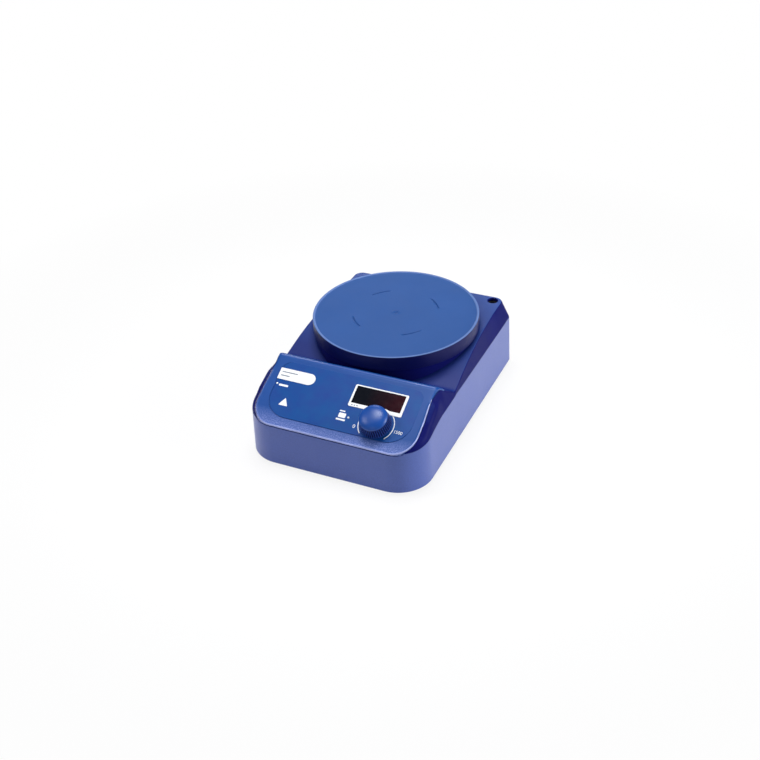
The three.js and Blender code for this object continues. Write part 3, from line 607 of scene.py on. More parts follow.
def housing_finish():
    """Spark-eroded walls; a polished side band and pedestal painted dark as shade; a satin deck with painted shade
    in its valley and hollows.
    """
    finish = Finish("housing_plastic", BLUE_WALL, 0.5)
    up = finish.upward()
    height = finish.part_of(finish.place, 2)
    below_band = finish.remap(height, 1, 0, (FOOT + WALL_TOP + 1) * MM, (FOOT + WALL_TOP + 2) * MM)
    wall = finish.times(finish.remap(up, 1, 0, 0.07, 0.13), below_band)
    deck = finish.remap(up, 0, 1, 0.72, 0.9)
    eroded = finish.remap(finish.noise(0.8, 2), 0, 1)
    wall_color = finish.mix(eroded, BLUE_WALL, tuple(c * 1.25 for c in BLUE_WALL))
    # Painted shade: the deck darkens towards the valley and where ambient occlusion finds it hemmed in, as round
    # the pedestal.
    raised = finish.remap(height, 0, 1, (FOOT + VALLEY_Z + 4) * MM, (FOOT + DECK_Z) * MM)
    open_air = finish.add("ShaderNodeAmbientOcclusion", {"Distance": 22 * MM}).outputs["AO"]
    unshaded = finish.times(raised, finish.remap(open_air, 0, 1, 0.3, 0.9))
    deck_color = finish.mix(unshaded, VALLEY_SHADE_BLUE, finish.vary_color(BLUE_DECK, 0.1, 38))
    # The side band and the pedestal are painted dark as shade; the deck keeps its own blue, shaded as above.
    band_shade_and_deck = finish.mix(deck, finish.vary_color(BAND_SHADE_BLUE, 0.1, 30), deck_color)
    finish.connect(finish.mix(wall, band_shade_and_deck, wall_color), "Base Color")
    finish.smudge_round(finish.blend(wall, finish.blend(deck, 0.36, 0.44), 0.5), 16)
    finish.connect(finish.blend(wall, finish.blend(deck, 0.03, 0.24), 0.6), "Specular IOR Level")
    finish.connect(finish.times(wall, 0.75), "Sheen Weight")
    finish.set("Sheen Roughness", 0.45)
    finish.set("Sheen Tint", (0.8, 0.8, 1, 1))
    finish.grain(0.5, 0.025)
    return finish.material


def panel_finish():
    """The panel moulding: grainy towards its front edge, where the grain is painted pale as sheen; glossier along
    its crest, with a painted highlight on its top.
    """
    finish = Finish("panel_plastic", BLUE_PANEL, 0.42)
    depth = finish.part_of(finish.place, 1)
    front = (MIDDLE_Y - HALF_DEPTH) * MM
    near = finish.remap(depth, 1, 0, front + 4 * MM, front + 15 * MM)
    grains = finish.remap(finish.noise(0.7, 2), 0, 1, 0.45, 0.62)
    # Painted sheen: near the front edge the grain is painted pale.
    grain_and_sheen = finish.times(near, finish.blend(grains, 0.35, 1))
    crest = finish.remap(depth, 0, 1, (MIDDLE_Y + CREST_FRONT) * MM, (MIDDLE_Y + CREST_Y) * MM)
    # Painted highlight: a pale line where the crest faces straight up.
    crest_highlight = finish.times(crest, finish.remap(finish.upward(), 0, 1, 0.982, 0.999))
    speckled = finish.mix(grain_and_sheen, finish.vary_color(BLUE_PANEL, 0.07, 38), PALE_GRAIN_SHEEN)
    finish.connect(finish.mix(finish.times(crest_highlight, 0.3), speckled, CREST_HIGHLIGHT), "Base Color")
    finish.connect(finish.blend(crest, 0.42, 0.3), "Roughness")
    finish.connect(finish.blend(crest, 0.22, 0.4), "Specular IOR Level")
    finish.grain(0.4, 0.02)
    return finish.material


def bead_finish():
    """The panel's raised edge line: painted dark as shade along the left, painted pale as a highlight along the
    front and the right.
    """
    finish = Finish("bead_plastic", BLUE_PANEL, 0.26)
    across = finish.part_of(finish.place, 0)
    # Painted light: the bead is dark on its left as shade and pale further right as a highlight.
    highlit_side = finish.remap(across, 0, 1, -PANEL_HALF_WIDTH * MM, -0.7 * PANEL_HALF_WIDTH * MM)
    dark, pale = finish.vary_color(BAND_SHADE_BLUE, 0.1, 20), finish.vary_color(BEAD_HIGHLIGHT, 0.12, 9)
    finish.connect(finish.mix(highlit_side, dark, pale), "Base Color")
    finish.smudge(0.26)
    finish.grain(0.6, 0.004)
    return finish.material


def plate_finish():
    """A satin top, a polished skirt painted dark as shade, and a painted highlight round the rim where they meet.
    """
    finish = Finish("plate_plastic", BLUE_PLATE, 0.45)
    up = finish.upward()
    top = finish.remap(up, 0, 1, 0.35, 0.75)
    from_axis = finish.vector("SUBTRACT", finish.place, (0, (MIDDLE_Y + PLATE_Y) * MM, 0))[0]
    level = finish.vector("MULTIPLY", from_axis, (1, 1, 0))[0]
    radius = finish.vector("LENGTH", level)["Value"]
    # Painted highlight: a pale line round the plate's outer edge.
    outer = finish.remap(radius, 0, 1, (PLATE_RADIUS - 2.2) * MM, (PLATE_RADIUS - 1.8) * MM)
    rim = finish.times(outer, finish.remap(up, 0, 1, 0.25, 0.6))
    # Painted shade: the upright skirt is painted much darker than the top.
    skirt_shade, top_color = finish.vary_color(SKIRT_SHADE_BLUE, 0.1, 20), finish.vary_color(BLUE_PLATE, 0.05, 45)
    body_color = finish.mix(top, skirt_shade, top_color)
    finish.connect(finish.mix(finish.times(rim, 0.6), body_color, RIM_HIGHLIGHT), "Base Color")
    finish.smudge_round(finish.blend(top, 0.36, 0.54), 18)
    finish.connect(finish.blend(top, 0.14, 0.2), "Specular IOR Level")
    finish.grain(0.3, 0.008)
    return finish.material


def knob_finish():
    """A smooth dome over a skirt painted dark as shade, with a painted highlight along its rib crests."""
    finish = Finish("knob_plastic", BLUE_KNOB, 0.36)
    axis = (PANEL.to_3x3() @ Vector((0, 0, 1))).normalized()
    outwards = finish.vector("DOT_PRODUCT", finish.normal(), axis)["Value"]
    dome = finish.remap(outwards, 0, 1, 0.12, 0.35)
    # Painted light: the skirt is dark as shade, paler along the rib crests as a highlight.
    rib_light_and_shade = finish.mix(finish.edges(0.5, 0.53), RIB_SHADE, RIB_CREST_HIGHLIGHT)
    finish.connect(finish.mix(dome, rib_light_and_shade, finish.vary_color(BLUE_KNOB, 0.07, 8)), "Base Color")
    finish.connect(finish.blend(dome, 0.15, 0.45), "Specular IOR Level")
    finish.smudge(0.36)
    finish.grain(0.8, 0.003)
    return finish.material


def printed_film():
    """The smooth overlay on the control panel."""
    finish = Finish("overlay_film", BLUE_PANEL, 0.36)
    cloud = finish.remap(finish.noise(13, 3), 0, 1)
    finish.connect(finish.mix(cloud, FILM_VIOLET, FILM_TEAL), "Base Color")
    finish.set("Specular IOR Level", 0.16)
    finish.smudge(0.36)
    finish.grain(0.9, 0.004)
    return finish.material


def display_lens():
    """A smoked red window: nearly black, with a faint red cast towards its right half."""
    finish = Finish("display_lens", (0.006, 0.003, 0.004), 0.2)
    low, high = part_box("display_window")
    across = finish.part_of(finish.place, 0)
    right = finish.remap(across, 0, 1, low.x + 0.25 * (high.x - low.x), high.x)
    share = finish.times(right, finish.remap(finish.noise(6, 2), 0.6, 1))
    finish.connect(finish.mix(share, (0.005, 0.006, 0.010), (0.026, 0.004, 0.008)), "Base Color")
    finish.connect(finish.remap(finish.noise(3, 3), 0.08, 0.18), "Roughness")
    finish.connect(finish.times(share, 0.015), "Emission Strength")
    finish.set("Emission Color", (0.5, 0.01, 0.01, 1))
    finish.set("Specular IOR Level", 0.1)
    return finish.material


def metal(name, color, roughness, brushed=(1, 1, 12)):
    """Metal with fine directional scratches and a little tarnish."""
    finish = Finish(name, color, roughness, 1.0)
    scratches = finish.noise(1.2, 4, brushed)
    finish.connect(finish.remap(scratches, roughness * 0.7, roughness * 1.35), "Roughness")
    finish.connect(finish.vary_color(color, 0.1, 5), "Base Color")
    finish.bump([(scratches, 0.006)])
    return finish.material


def rubber():
    finish = Finish("foot_rubber", (0.018, 0.018, 0.019), 0.78)
    finish.connect(finish.vary_color((0.022, 0.022, 0.023), 0.35, 4), "Base Color")
    finish.bump([(finish.noise(0.5, 3), 0.05)])
    return finish.material


def patterned(name, roughness, metallic, pattern, depth, first, second):
    """A finish whose colour and height follow a pattern node: kind, inputs and settings."""
    finish = Finish(name, first, roughness, metallic)
    kind, inputs, settings = pattern
    share = finish.add(kind, {"Vector": finish.place, **inputs}, **settings).outputs["Fac"]
    finish.connect(finish.mix(share, first, second), "Base Color")
    finish.bump([(share, depth)])
    return finish.material


def circuit_board():
    """Green solder mask with tracks showing through as a raised pattern."""
    tracks = ("ShaderNodeTexBrick", {"Scale": 160.0, "Mortar Size": 0.03}, {})
    return patterned("circuit_board", 0.4, 0.0, tracks, 0.03, (0.008, 0.10, 0.04), (0.03, 0.22, 0.09))


def wound_copper():
    turns = ("ShaderNodeTexWave", {"Scale": 700.0, "Distortion": 0.4}, {"bands_direction": "Z"})
    return patterned("enamel_copper", 0.3, 0.8, turns, 0.15, (0.2, 0.06, 0.02), (0.55, 0.2, 0.08))


def stacked_steel():
    sheets = ("ShaderNodeTexWave", {"Scale": 900.0}, {"bands_direction": "Z"})
    return patterned("laminated_steel", 0.45, 1.0, sheets, 0.05, (0.12, 0.12, 0.13), (0.3, 0.3, 0.31))


def fuse_glass():
    finish = Finish("fuse_glass", (0.85, 0.9, 0.92), 0.08)
    finish.set("Transmission Weight", 0.8)
    finish.connect(finish.remap(finish.noise(2, 2), 0.05, 0.14), "Roughness")
    return finish.material


def print_ink(name, tint):
    finish = Finish(name, tint, 0.45)
    finish.connect(finish.vary_color(tint, 0.03, 3), "Base Color")
    finish.bump([(finish.noise(0.3, 2), 0.004)])
    return finish.material


BEAD = bead_finish()
FILM = printed_film()
GREY_INK = print_ink("grey_print", (0.16, 0.2, 0.26))

FINISHES = {
    "housing_plastic": housing_finish(),
    "panel_plastic": panel_finish(),
    "plate_plastic": plate_finish(),
    "knob_plastic": knob_finish(),
    "white_print": print_ink("white_print", (0.86, 0.88, 0.9)),
    "display_lens": display_lens(),
    "lamp_lens": moulded_plastic("lamp_lens", (0.75, 0.8, 0.85), 0.2, wear=0.1),
    "black_plastic": moulded_plastic("black_plastic", (0.012, 0.012, 0.014), 0.42, grain=0.3, depth=0.015),
    "foot_rubber": rubber(),
    "circuit_board": circuit_board(),
    "zinc_steel": metal("zinc_steel", (0.62, 0.64, 0.66), 0.32),
    "brass": metal("brass", (0.62, 0.43, 0.16), 0.3),
    "blackened_steel": metal("blackened_steel", (0.05, 0.05, 0.055), 0.4),
    "cast_aluminium": metal("cast_aluminium", (0.55, 0.57, 0.59), 0.48, (1, 1, 1)),
    "bearing_steel": metal("bearing_steel", (0.7, 0.71, 0.73), 0.18),
    "magnet_nickel": metal("magnet_nickel", (0.6, 0.6, 0.58), 0.22),
    "laminated_steel": stacked_steel(),
    "enamel_copper": wound_copper(),
    "winding_tape": moulded_plastic("winding_tape", (0.55, 0.36, 0.03), 0.4),
    "fuse_glass": fuse_glass(),
    "lead_sleeve": moulded_plastic("lead_sleeve", (0.25, 0.27, 0.28), 0.5),
}

# ---- Housing ----

LAND = 3.0  # the top is flat across, further in from its edge than this
EDGE_ROUNDING = [0, 0.9, 1.0, 3.0, 0.8, 0, 0]  # at each point of a path from underside to top
POST_RADIUS = 4
POST_FOOT = 3.1
FRONT_POST_TOP = 52.5
SCREW_BORE_RADIUS = 1.8
SCREW_BORE_TOP = 16
BOSS_RADIUS = 8
BOSS_LOW = 38
REAR_POST_TOP = DECK_Z - 1.2
SOCKET_ROOM_RADIUS = 5.3
SOCKET_ROOM_LOW = 30
ROD_HOLE_LIP = 0.7
UNDER_PANEL = (-60, 60, 8, 52)  # x0, x1, t0, t1 of the opening below the panel moulding


def housing_paths(inset, drop, foot_z, soft):
    """One path per station, from the middle of the underside round the wall to the middle of the top."""
    outer = outline_stations(inset)
    inner = outline_stations(inset + LAND)
    paths = []
    for (foot, wall, edge), (_, _, land) in zip(outer, inner):
        edge_z = top_height(edge.y) - drop(edge.y) - edge_fall(edge.y)
        wall_z = min(wall_height(wall.y) - inset / 2, edge_z - 0.3)
        land_z = top_height(land.y) - drop(land.y)
        band_foot, band_top = Vector((*wall, wall_z)), Vector((*edge, edge_z))
        points = [
            Vector((0, foot.y, foot_z)),
            Vector((*foot, foot_z)),
            band_foot,
            shoulder_point(band_foot, band_top),
            band_top,
            Vector((*land, land_z)),
            Vector((0, land.y, land_z)),
        ]
        paths.append(rounded(points, EDGE_ROUNDING if soft else [0] * len(points)))
    return paths


def panel_seat(depth, end_y, grow):
    """The space of the panel moulding: above a surface below the top, and inside the top's edge."""
    start_y = -HALF_DEPTH - 5
    places = [start_y] + steps(SEAM_Y + 1.5, CREST_FRONT, 3) + steps(CREST_FRONT + 1, CREST_BACK, 8) + [end_y]
    under = [(y, max(top_height(y) - depth, SEAM_Z - FRONT_SEAT)) for y in places]
    profile = under + [(end_y, 90), (start_y, 90)]
    verts = [(x, y, z) for x in (-HALF_WIDTH - 5, HALF_WIDTH + 5) for y, z in profile]
    count = len(profile)
    faces = grid_faces(2, count, closed_columns=True)
    faces += [tuple(range(count)), tuple(range(count, 2 * count))[::-1]]
    space = new_object("tool", verts, faces)
    right = [edge for _, _, edge in outline_stations(-grow)]
    left = [Vector((-p.x, p.y)) for p in right[-2:0:-1]]
    return combine(space, [slab("tool", right + left, 20, 95)], "INTERSECT")


def panel_tool(outline, low, high=4):
    """A cutting solid through an outline on the panel."""
    return slab("tool", outline, low, high, PANEL)


def box_tool(x0, x1, y0, y1, z0, z1, place=BODY):
    outline = [Vector(p) for p in ((x0, y0), (x1, y0), (x1, y1), (x0, y1))]
    return slab("tool", outline, z0, z1, place)


def body_box(node, grow):
    """A cutting box round a CAD node, in body coordinates."""
    low, high = node_box(node)
    return box_tool(low.x - grow, high.x + grow, HALF_DEPTH - 12, HALF_DEPTH + 8,
                    low.z - FOOT - grow, high.z - FOOT + grow)


def upright(radius, low, high, x, y, segments):
    """An upright cylinder in body coordinates, to join or to cut."""
    profile = [(0, low), (radius, low), (radius, high), (0, high)]
    return turned("tool", profile, segments, moved(BODY, x, y))


def node_middle(node):
    low, high = node_box(node)
    return (low.x + high.x) / 2, (low.y + high.y) / 2 - MIDDLE_Y


def add_pedestal(shell, hollow):
    """Joins the round pedestal to the shell, then hollows both."""
    outer = [(0, 40, 0), (PEDESTAL_RADIUS, 40, 0), (PEDESTAL_RADIUS, PEDESTAL_TOP, 1), (0, PEDESTAL_TOP, 0)]
    join(shell, turned("tool", soft_profile(outer), 256, DRIVE))
    room_radius, room_top = PEDESTAL_RADIUS - 3, PEDESTAL_TOP - WALL
    room = [(0, 20), (room_radius, 20), (room_radius, room_top), (0, room_top)]
    cut(shell, hollow, turned("tool", room, 128, DRIVE))


def add_bosses(shell):
    """The posts that the case screws bite into, and the boss round the support rod's socket."""
    for node in nodes_named("case_screw"):
        x, y = node_middle(node)
        post_top = FRONT_POST_TOP if "front" in node else REAR_POST_TOP
        join(shell, upright(POST_RADIUS, POST_FOOT, post_top, x, y, 24))
        cut(shell, upright(SCREW_BORE_RADIUS, 0, SCREW_BORE_TOP, x, y, 16))
    inside = mirrored_loft("tool", housing_paths(1, lambda y: 1, 0.5, False), True)
    boss = upright(BOSS_RADIUS, BOSS_LOW, REAR_POST_TOP, *ROD_HOLE, 32)
    join(shell, combine(boss, [inside], "INTERSECT"))


def cut_rod_hole(shell):
    """The socket's room under the deck, and the hole above it with a rounded lip."""
    cut(shell, upright(SOCKET_ROOM_RADIUS, SOCKET_ROOM_LOW, DECK_Z - WALL, *ROD_HOLE, 48))
    rim = ROD_HOLE_RADIUS + ROD_HOLE_LIP
    hole = [(0, 50), (ROD_HOLE_RADIUS, 50)]
    for angle in steps(0, math.pi / 2, 5):
        rise = ROD_HOLE_LIP * (math.sin(angle) - 1)
        hole.append((rim - ROD_HOLE_LIP * math.cos(angle), DECK_Z + rise))
    hole += [(rim, DECK_Z + 3), (0, DECK_Z + 3)]
    cut(shell, turned("tool", hole, 64, moved(BODY, *ROD_HOLE)))


def build_housing():
    def roof(y):
        """Thickness of the top: under the panel it also holds the ledge."""
        return PANEL_SKIN + SEAM_GAP + LEDGE if y < PANEL_BACK_Y else WALL

    shell = mirrored_loft("housing_shell", housing_paths(0, lambda y: 0, 0, True), True)
    add_pedestal(shell, mirrored_loft("tool", housing_paths(WALL, roof, -1, False), True))
    add_bosses(shell)
    cut(shell, panel_seat(PANEL_SKIN + SEAM_GAP, PANEL_BACK_Y + 0.3, 0.3))
    cut(shell, panel_tool(rounded_box(*UNDER_PANEL, [4] * 4), -8, 3))
    cut_rod_hole(shell)
    for node in nodes_named("plate_screw"):
        cut(shell, upright(2, 55, 70, *node_middle(node), 20))
    inlet, switch = (body_box(node, -1.6) for node in ("power_inlet", "switch_body"))
    cut(shell, inlet, switch)
    dress(shell, "housing_plastic", ["upper_housing"])


# ---- Control panel ----

PANEL_EDGE_INSET = 0.25
LIP_WIDTH = 1.8
LIP_HEIGHT = 0.4
BEAD_WIDTH = 0.9
FILM_BOX = (-58.8, 60.5, 9, 57)
FILM_RADII = [18.5, 18.5, 8, 8]
FILM_TOP = 0.15
FILM_GAP = 0.5
SURROUND_TOP = 0.45
WINDOW_GROWTH = 0.7  # the display's window reaches this far past the CAD's on every side
LABEL_TOP = 0.4
FIT = 0.2  # gap round a piece let into the panel
SHAFT_HOLE_RADIUS = 4.6
LAMP_HOLE_RADIUS = 1.1
LIP_END_Y = SEAM_Y + 52 * math.cos(PANEL_ANGLE)


def lip_share(y):
    """The lip and its bead fade out below the crest."""
    return 1 - smooth_step(LIP_END_Y - 9, LIP_END_Y, y)


def edge_profile(distance, y):
    """Height over the plain top at a distance in from the edge: a raised lip, or a fall at the crest."""
    if distance >= LAND:
        return 0.0
    fall = edge_fall(y) * (1 - math.sqrt(1 - (1 - distance / LAND) ** 2))
    if distance >= LIP_WIDTH:
        return -fall
    swell = math.sin(math.pi * (0.25 + 0.75 * distance / LIP_WIDTH)) ** 2
    return lip_share(y) * LIP_HEIGHT * swell - fall


def panel_paths():
    """Stations of the panel moulding: from its underside round the edge and over the lip."""
    distances = steps(0, LIP_WIDTH, 8) + [2.2, 2.6, LAND]
    rings = [outline_stations(PANEL_EDGE_INSET + distance) for distance in distances]
    paths = []
    for index, (_, _, edge) in enumerate(rings[0]):
        if edge.y > PANEL_BACK_Y:
            break
        land = rings[-1][index][2]
        land_z = top_height(land.y)
        floor_z = SEAM_Z - FRONT_SEAT + SEAM_GAP
        under_z = max(land_z - PANEL_SKIN, floor_z)
        edge_floor_z = max(top_height(edge.y) - edge_fall(edge.y) - PANEL_SKIN, floor_z)
        path = [Vector((0, land.y, under_z)), Vector((*land, under_z)), Vector((*edge, edge_floor_z))]
        for distance, ring in zip(distances, rings):
            point = ring[index][2]
            path.append(Vector((*point, top_height(point.y) + edge_profile(distance, point.y))))
        path.append(Vector((0, land.y, land_z)))
        paths.append(path)
    return paths


def bead_paths():
    """Stations of the shiny bead along the panel's edge: closed half-round sections."""
    angles = steps(0, math.pi, 8)
    section = [(BEAD_WIDTH / 2 * (1 - math.cos(a)), 0.25 + 0.4 * math.sin(a)) for a in angles]
    section = [(0, -0.3)] + section + [(BEAD_WIDTH, -0.3)]
    rings = [outline_stations(PANEL_EDGE_INSET - 0.1 + inset) for inset, _ in section]
    paths = []
    for index, (_, _, edge) in enumerate(rings[0]):
        if edge.y > LIP_END_Y:
            break
        points = [ring[index][2] for ring in rings]
        share = lip_share(edge.y)
        paths.append([Vector((*p, top_height(p.y) + (rise + 0.3) * share - 0.3))
                      for p, (_, rise) in zip(points, section)])
    left = [[Vector((-p.x, p.y, p.z)) for p in path] for path in paths[:0:-1]]
    return left + paths


def build_bead():
    paths = bead_paths()
    sides = len(paths[0])
    faces = grid_faces(len(paths), sides, closed_columns=True)
    faces.append(tuple(range(sides)))
    faces.append(tuple(range(sides * (len(paths) - 1), sides * len(paths)))[::-1])
    bead = new_object("panel_bead", [point for path in paths for point in path], faces)
    dress(bead, "panel_plastic", finish=BEAD)


def cap_ends(made):
    """Closes the open back end of a loft."""
    work = bmesh.new()
    work.from_mesh(made.data)
    border = [edge for edge in work.edges if edge.is_boundary]
    bmesh.ops.contextual_create(work, geom=border)
    bmesh.ops.recalc_face_normals(work, faces=work.faces)
    work.to_mesh(made.data)
    work.free()
    shade(made.data)


def film_outline(gap):
    """The printed film's outline, or its bed's, with a narrow gap along the left and the front."""
    x0, x1, t0, t1 = FILM_BOX
    return rounded_box(x0 - gap, x1, t0 - gap, t1, [FILM_RADII[0] + gap] + FILM_RADII[1:], 14)


def panel_box(node):
    """A CAD node's box in panel coordinates: (x0, x1, t0, t1, n0, n1)."""
    inverse = PANEL.inverted()
    points = [inverse @ vert.co for vert in frame["nodes"][node].data.vertices]
    spans = [(min(p[i] for p in points), max(p[i] for p in points)) for i in range(3)]
    return [value for span in spans for value in span]


def box_outline(box, grow, radius):
    """A rounded outline a little outside a box in panel coordinates."""
    return rounded_box(box[0] - grow, box[1] + grow, box[2] - grow, box[3] + grow, [radius] * 4)


def label_outline(grow):
    """Square corners at the left and a round right end."""
    x0, x1, t0, t1, _, _ = panel_box("name_label")
    radius = (t1 - t0) / 2 + grow - 0.01
    return rounded_box(x0 - grow, x1 + grow, t0 - grow, t1 + grow, [0.4, radius, radius, 0.4], 12)


def lamp_outline(node, radius):
    x0, x1, t0, t1, _, _ = panel_box(node)
    return circle((x0 + x1) / 2, (t0 + t1) / 2, radius, 24)


LAMPS = ("power_lamp", "stir_lamp")
KNOB_PIVOT = next(joint["pos_m"] for joint in frame["joints"] if joint["name"] == "knob_turn")
KNOB_X, KNOB_T = (PANEL.inverted() @ Vector(KNOB_PIVOT)).xy


def build_panel():
    """The moulding with its openings, and the printed film let into its face."""
    surround, window = panel_box("display_frame"), panel_box("display_window")
    moulding = mirrored_loft("panel_moulding", panel_paths(), False)
    cap_ends(moulding)
    cut(moulding, panel_tool(film_outline(FILM_GAP), -0.4))
    cut(moulding,
        panel_tool(box_outline(surround, FIT, 1.3), surround[4] - 0.1),
        panel_tool(box_outline(window, WINDOW_GROWTH + 0.3, 0.6), -6),
        panel_tool(label_outline(FIT), -0.7),
        panel_tool(circle(KNOB_X, KNOB_T, SHAFT_HOLE_RADIUS, 48), -6),
        *(panel_tool(lamp_outline(node, LAMP_HOLE_RADIUS), -6) for node in LAMPS))
    dress(moulding, "panel_plastic", ["control_panel"])

    film = slab("panel_film", film_outline(0), -0.3, FILM_TOP, PANEL, 0.15)
    cut(film,
        panel_tool(box_outline(surround, 0.15, 1.3), -2, 2),
        panel_tool(label_outline(0.15), -2, 2),
        panel_tool(circle(KNOB_X, KNOB_T, SHAFT_HOLE_RADIUS + 0.2, 48), -2, 2),
        *(panel_tool(lamp_outline(node, LAMP_HOLE_RADIUS - 0.1), -2, 2) for node in LAMPS))
    dress(film, "panel_plastic", finish=FILM)


def build_display():
    box, window = panel_box("display_frame"), panel_box("display_window")
    surround = slab("display_surround", box_outline(box, 0, 1.2), box[4], SURROUND_TOP, PANEL, 0.2)
    cut(surround, panel_tool(box_outline(window, WINDOW_GROWTH + 0.1, 0.5), -3, 3))
    dress(surround, "white_print", ["display_frame"])
    outline = box_outline(window, WINDOW_GROWTH, 0.5)
    lens = slab("display_lens_plate", outline, window[4], 0.12, PANEL, 0.15)
    dress(lens, "display_lens", ["display_window"])


def build_label():
    plate = slab("name_plate_blank", label_outline(0), panel_box("name_label")[4], LABEL_TOP, PANEL, 0.12)
    dress(plate, "white_print", ["name_label"])


def build_lamps():
    for node in LAMPS:
        x0, x1, t0, t1, foot, _ = panel_box(node)
        corners = [
            (0, foot, 0), (1.5, foot, 0), (1.5, -3, 0.2), (0.85, -2.4, 0.1), (0.85, 0.3, 0.3), (0, 0.5, 0),
        ]
        place = moved(PANEL, (x0 + x1) / 2, (t0 + t1) / 2)
        dress(turned(node + "_lens", soft_profile(corners), 32, place), "lamp_lens", [node])


# ---- Printed marks on the panel ----

INK = 0.05  # thickness of the print
TRIANGLE = [(-48.6, 18.7), (-41.7, 18.7), (-41.5, 19.1), (-44.9, 25.1), (-45.4, 25.1), (-48.8, 19.1)]
BARS = {  # x0, x1, t0, t1; the last three make a generic stirring symbol: a beaker on a plate, and its cap
    "power_caption": (-55.6, -47.7, 34.6, 36.3),
    "stir_symbol_beaker": (1.4, 7.3, 20.3, 24.3),
    "stir_symbol_plate": (0.6, 8.1, 17.9, 19.3),
    "stir_symbol_cap": (1.2, 5.6, 25.4, 26.4),
}
LABEL_RULES = [(-57.4, -44, 46.6), (-57.4, -50, 43.4)]  # x0, x1, t0
DIAL_RADIUS = 14.0
DIAL_LINE = 0.6
DIAL_GAP = math.radians(45)  # to each side of the lowest point


def printed(name, outline, base=FILM_TOP, finish=None):
    dress(slab(name, outline, base, base + INK, PANEL), "white_print", finish=finish)


def number_mark(name, text, x, t, size):
    """Dial numbers, as a thin mesh."""
    curve = bpy.data.curves.new(name, "FONT")
    curve.body = text
    curve.size = size
    curve.align_x = "CENTER"
    curve.align_y = "CENTER"
    curve.extrude = INK / 2
    letters = linked(name, curve)
    mesh = evaluated_mesh(letters)
    bpy.data.objects.remove(letters)
    mesh.transform(moved(PANEL, x, t, FILM_TOP + INK / 2))
    tidy_mesh(mesh)
    mesh.name = name
    dress(linked(name, mesh), "white_print")


def build_marks():
    printed("panel_triangle", [Vector(point) for point in TRIANGLE])
    for name, (x0, x1, t0, t1) in BARS.items():
        printed(name, rounded_box(x0, x1, t0, t1, [min(x1 - x0, t1 - t0) * 0.2] * 4, 3))
    start, end = DIAL_GAP - math.pi / 2, 1.5 * math.pi - DIAL_GAP
    outer = arc(KNOB_X, KNOB_T, DIAL_RADIUS + DIAL_LINE / 2, start, end, 72)
    inner = arc(KNOB_X, KNOB_T, DIAL_RADIUS - DIAL_LINE / 2, end, start, 72)
    printed("dial_arc", outer + inner)
    number_mark("dial_number_low", "0", KNOB_X - 16.2, KNOB_T - 5.6, 4.2)
    number_mark("dial_number_high", "1500", KNOB_X + 18.6, KNOB_T - 2.4, 3.6)
    first_tick = panel_box("display_frame")[0] + 2.4
    for i in range(3):
        x = first_tick + 2.2 * i
        outline = rounded_box(x, x + 1.4, 32.3, 33, [0.2] * 4, 3)
        printed(f"surround_tick_{i + 1}", outline, SURROUND_TOP, GREY_INK)
    for i, (x0, x1, t) in enumerate(LABEL_RULES):
        outline = rounded_box(x0, x1, t, t + 0.8, [0.3] * 4, 3)
        printed(f"name_plate_rule_{i + 1}", outline, LABEL_TOP, GREY_INK)


# ---- Knob, plate, socket, feet and screws ----

FLUTES = 44
SKIRT_RADIUS = 12.4
RIM_RADIUS = 11.1
RIM_Z = 9.8
DOME_TOP = 14.4


def fluted(radius, z, angle):
    """Fine ribs round the knob's skirt, fading out at its two ends."""
    if radius < RIM_RADIUS - 0.3 or z > RIM_Z:
        return radius, z
    fade = min(1, max(0, (RIM_Z - z) / 1.2)) * min(1, max(0, (z - 0.6) / 0.5))
    return radius - 0.7 * fade * (0.5 - 0.5 * math.cos(FLUTES * angle)) ** 1.3, z


def build_knob():
    """A shallow glossy dome on a slightly tapered, ribbed skirt."""
    inside = [(0, 13.1), (3.1, 13.1), (3.1, 0.9), (5.4, 0.9), (5.4, 6.4), (10.8, 6.4), (10.8, 0.6)]
    skirt = [(SKIRT_RADIUS + (RIM_RADIUS - SKIRT_RADIUS) * share, 0.9 + (RIM_Z - 0.9) * share)
             for share in steps(0, 1, 16)]
    dome = [(RIM_RADIUS * math.cos(a) ** 0.9, RIM_Z + (DOME_TOP - RIM_Z) * math.sin(a))
            for a in steps(0.04, math.pi / 2, 28)]
    dome[-1] = (0, DOME_TOP)
    profile = inside + [(SKIRT_RADIUS - 0.3, 0.6)] + skirt + dome
    knob = turned("speed_knob_cap", profile, FLUTES * 8, moved(PANEL, KNOB_X, KNOB_T), fluted)
    dress(knob, "knob_plastic", ["speed_knob"], body="speed_control")


GROOVE_RADIUS = 35
GROOVE_HALF_WIDTH = 0.8
GROOVE_DEPTH = 0.7
GROOVE_HALF_ARC = 15  # degrees
RIM_HEIGHT = 0.5
PLATE_LOW = 59.3
PLATE_THICKNESS = 3
PLATE_SKIRT = 1.7
PLATE_POST_RADIUS = 4
PLATE_BORE_RADIUS = 1.6


def plate_shape(radius, z, angle):
    """Sinks four short arc grooves into the plate's top."""
    if z < PLATE_TOP - RIM_HEIGHT - 0.01 or abs(radius - GROOVE_RADIUS) > GROOVE_HALF_WIDTH:
        return radius, z
    across = math.cos((radius - GROOVE_RADIUS) / GROOVE_HALF_WIDTH * math.pi / 2)
    off = abs(math.degrees(angle) % 90 - 45)
    reach = max(0, min(1, (GROOVE_HALF_ARC - off) / 3))
    return radius, z - GROOVE_DEPTH * across * math.sqrt(reach)


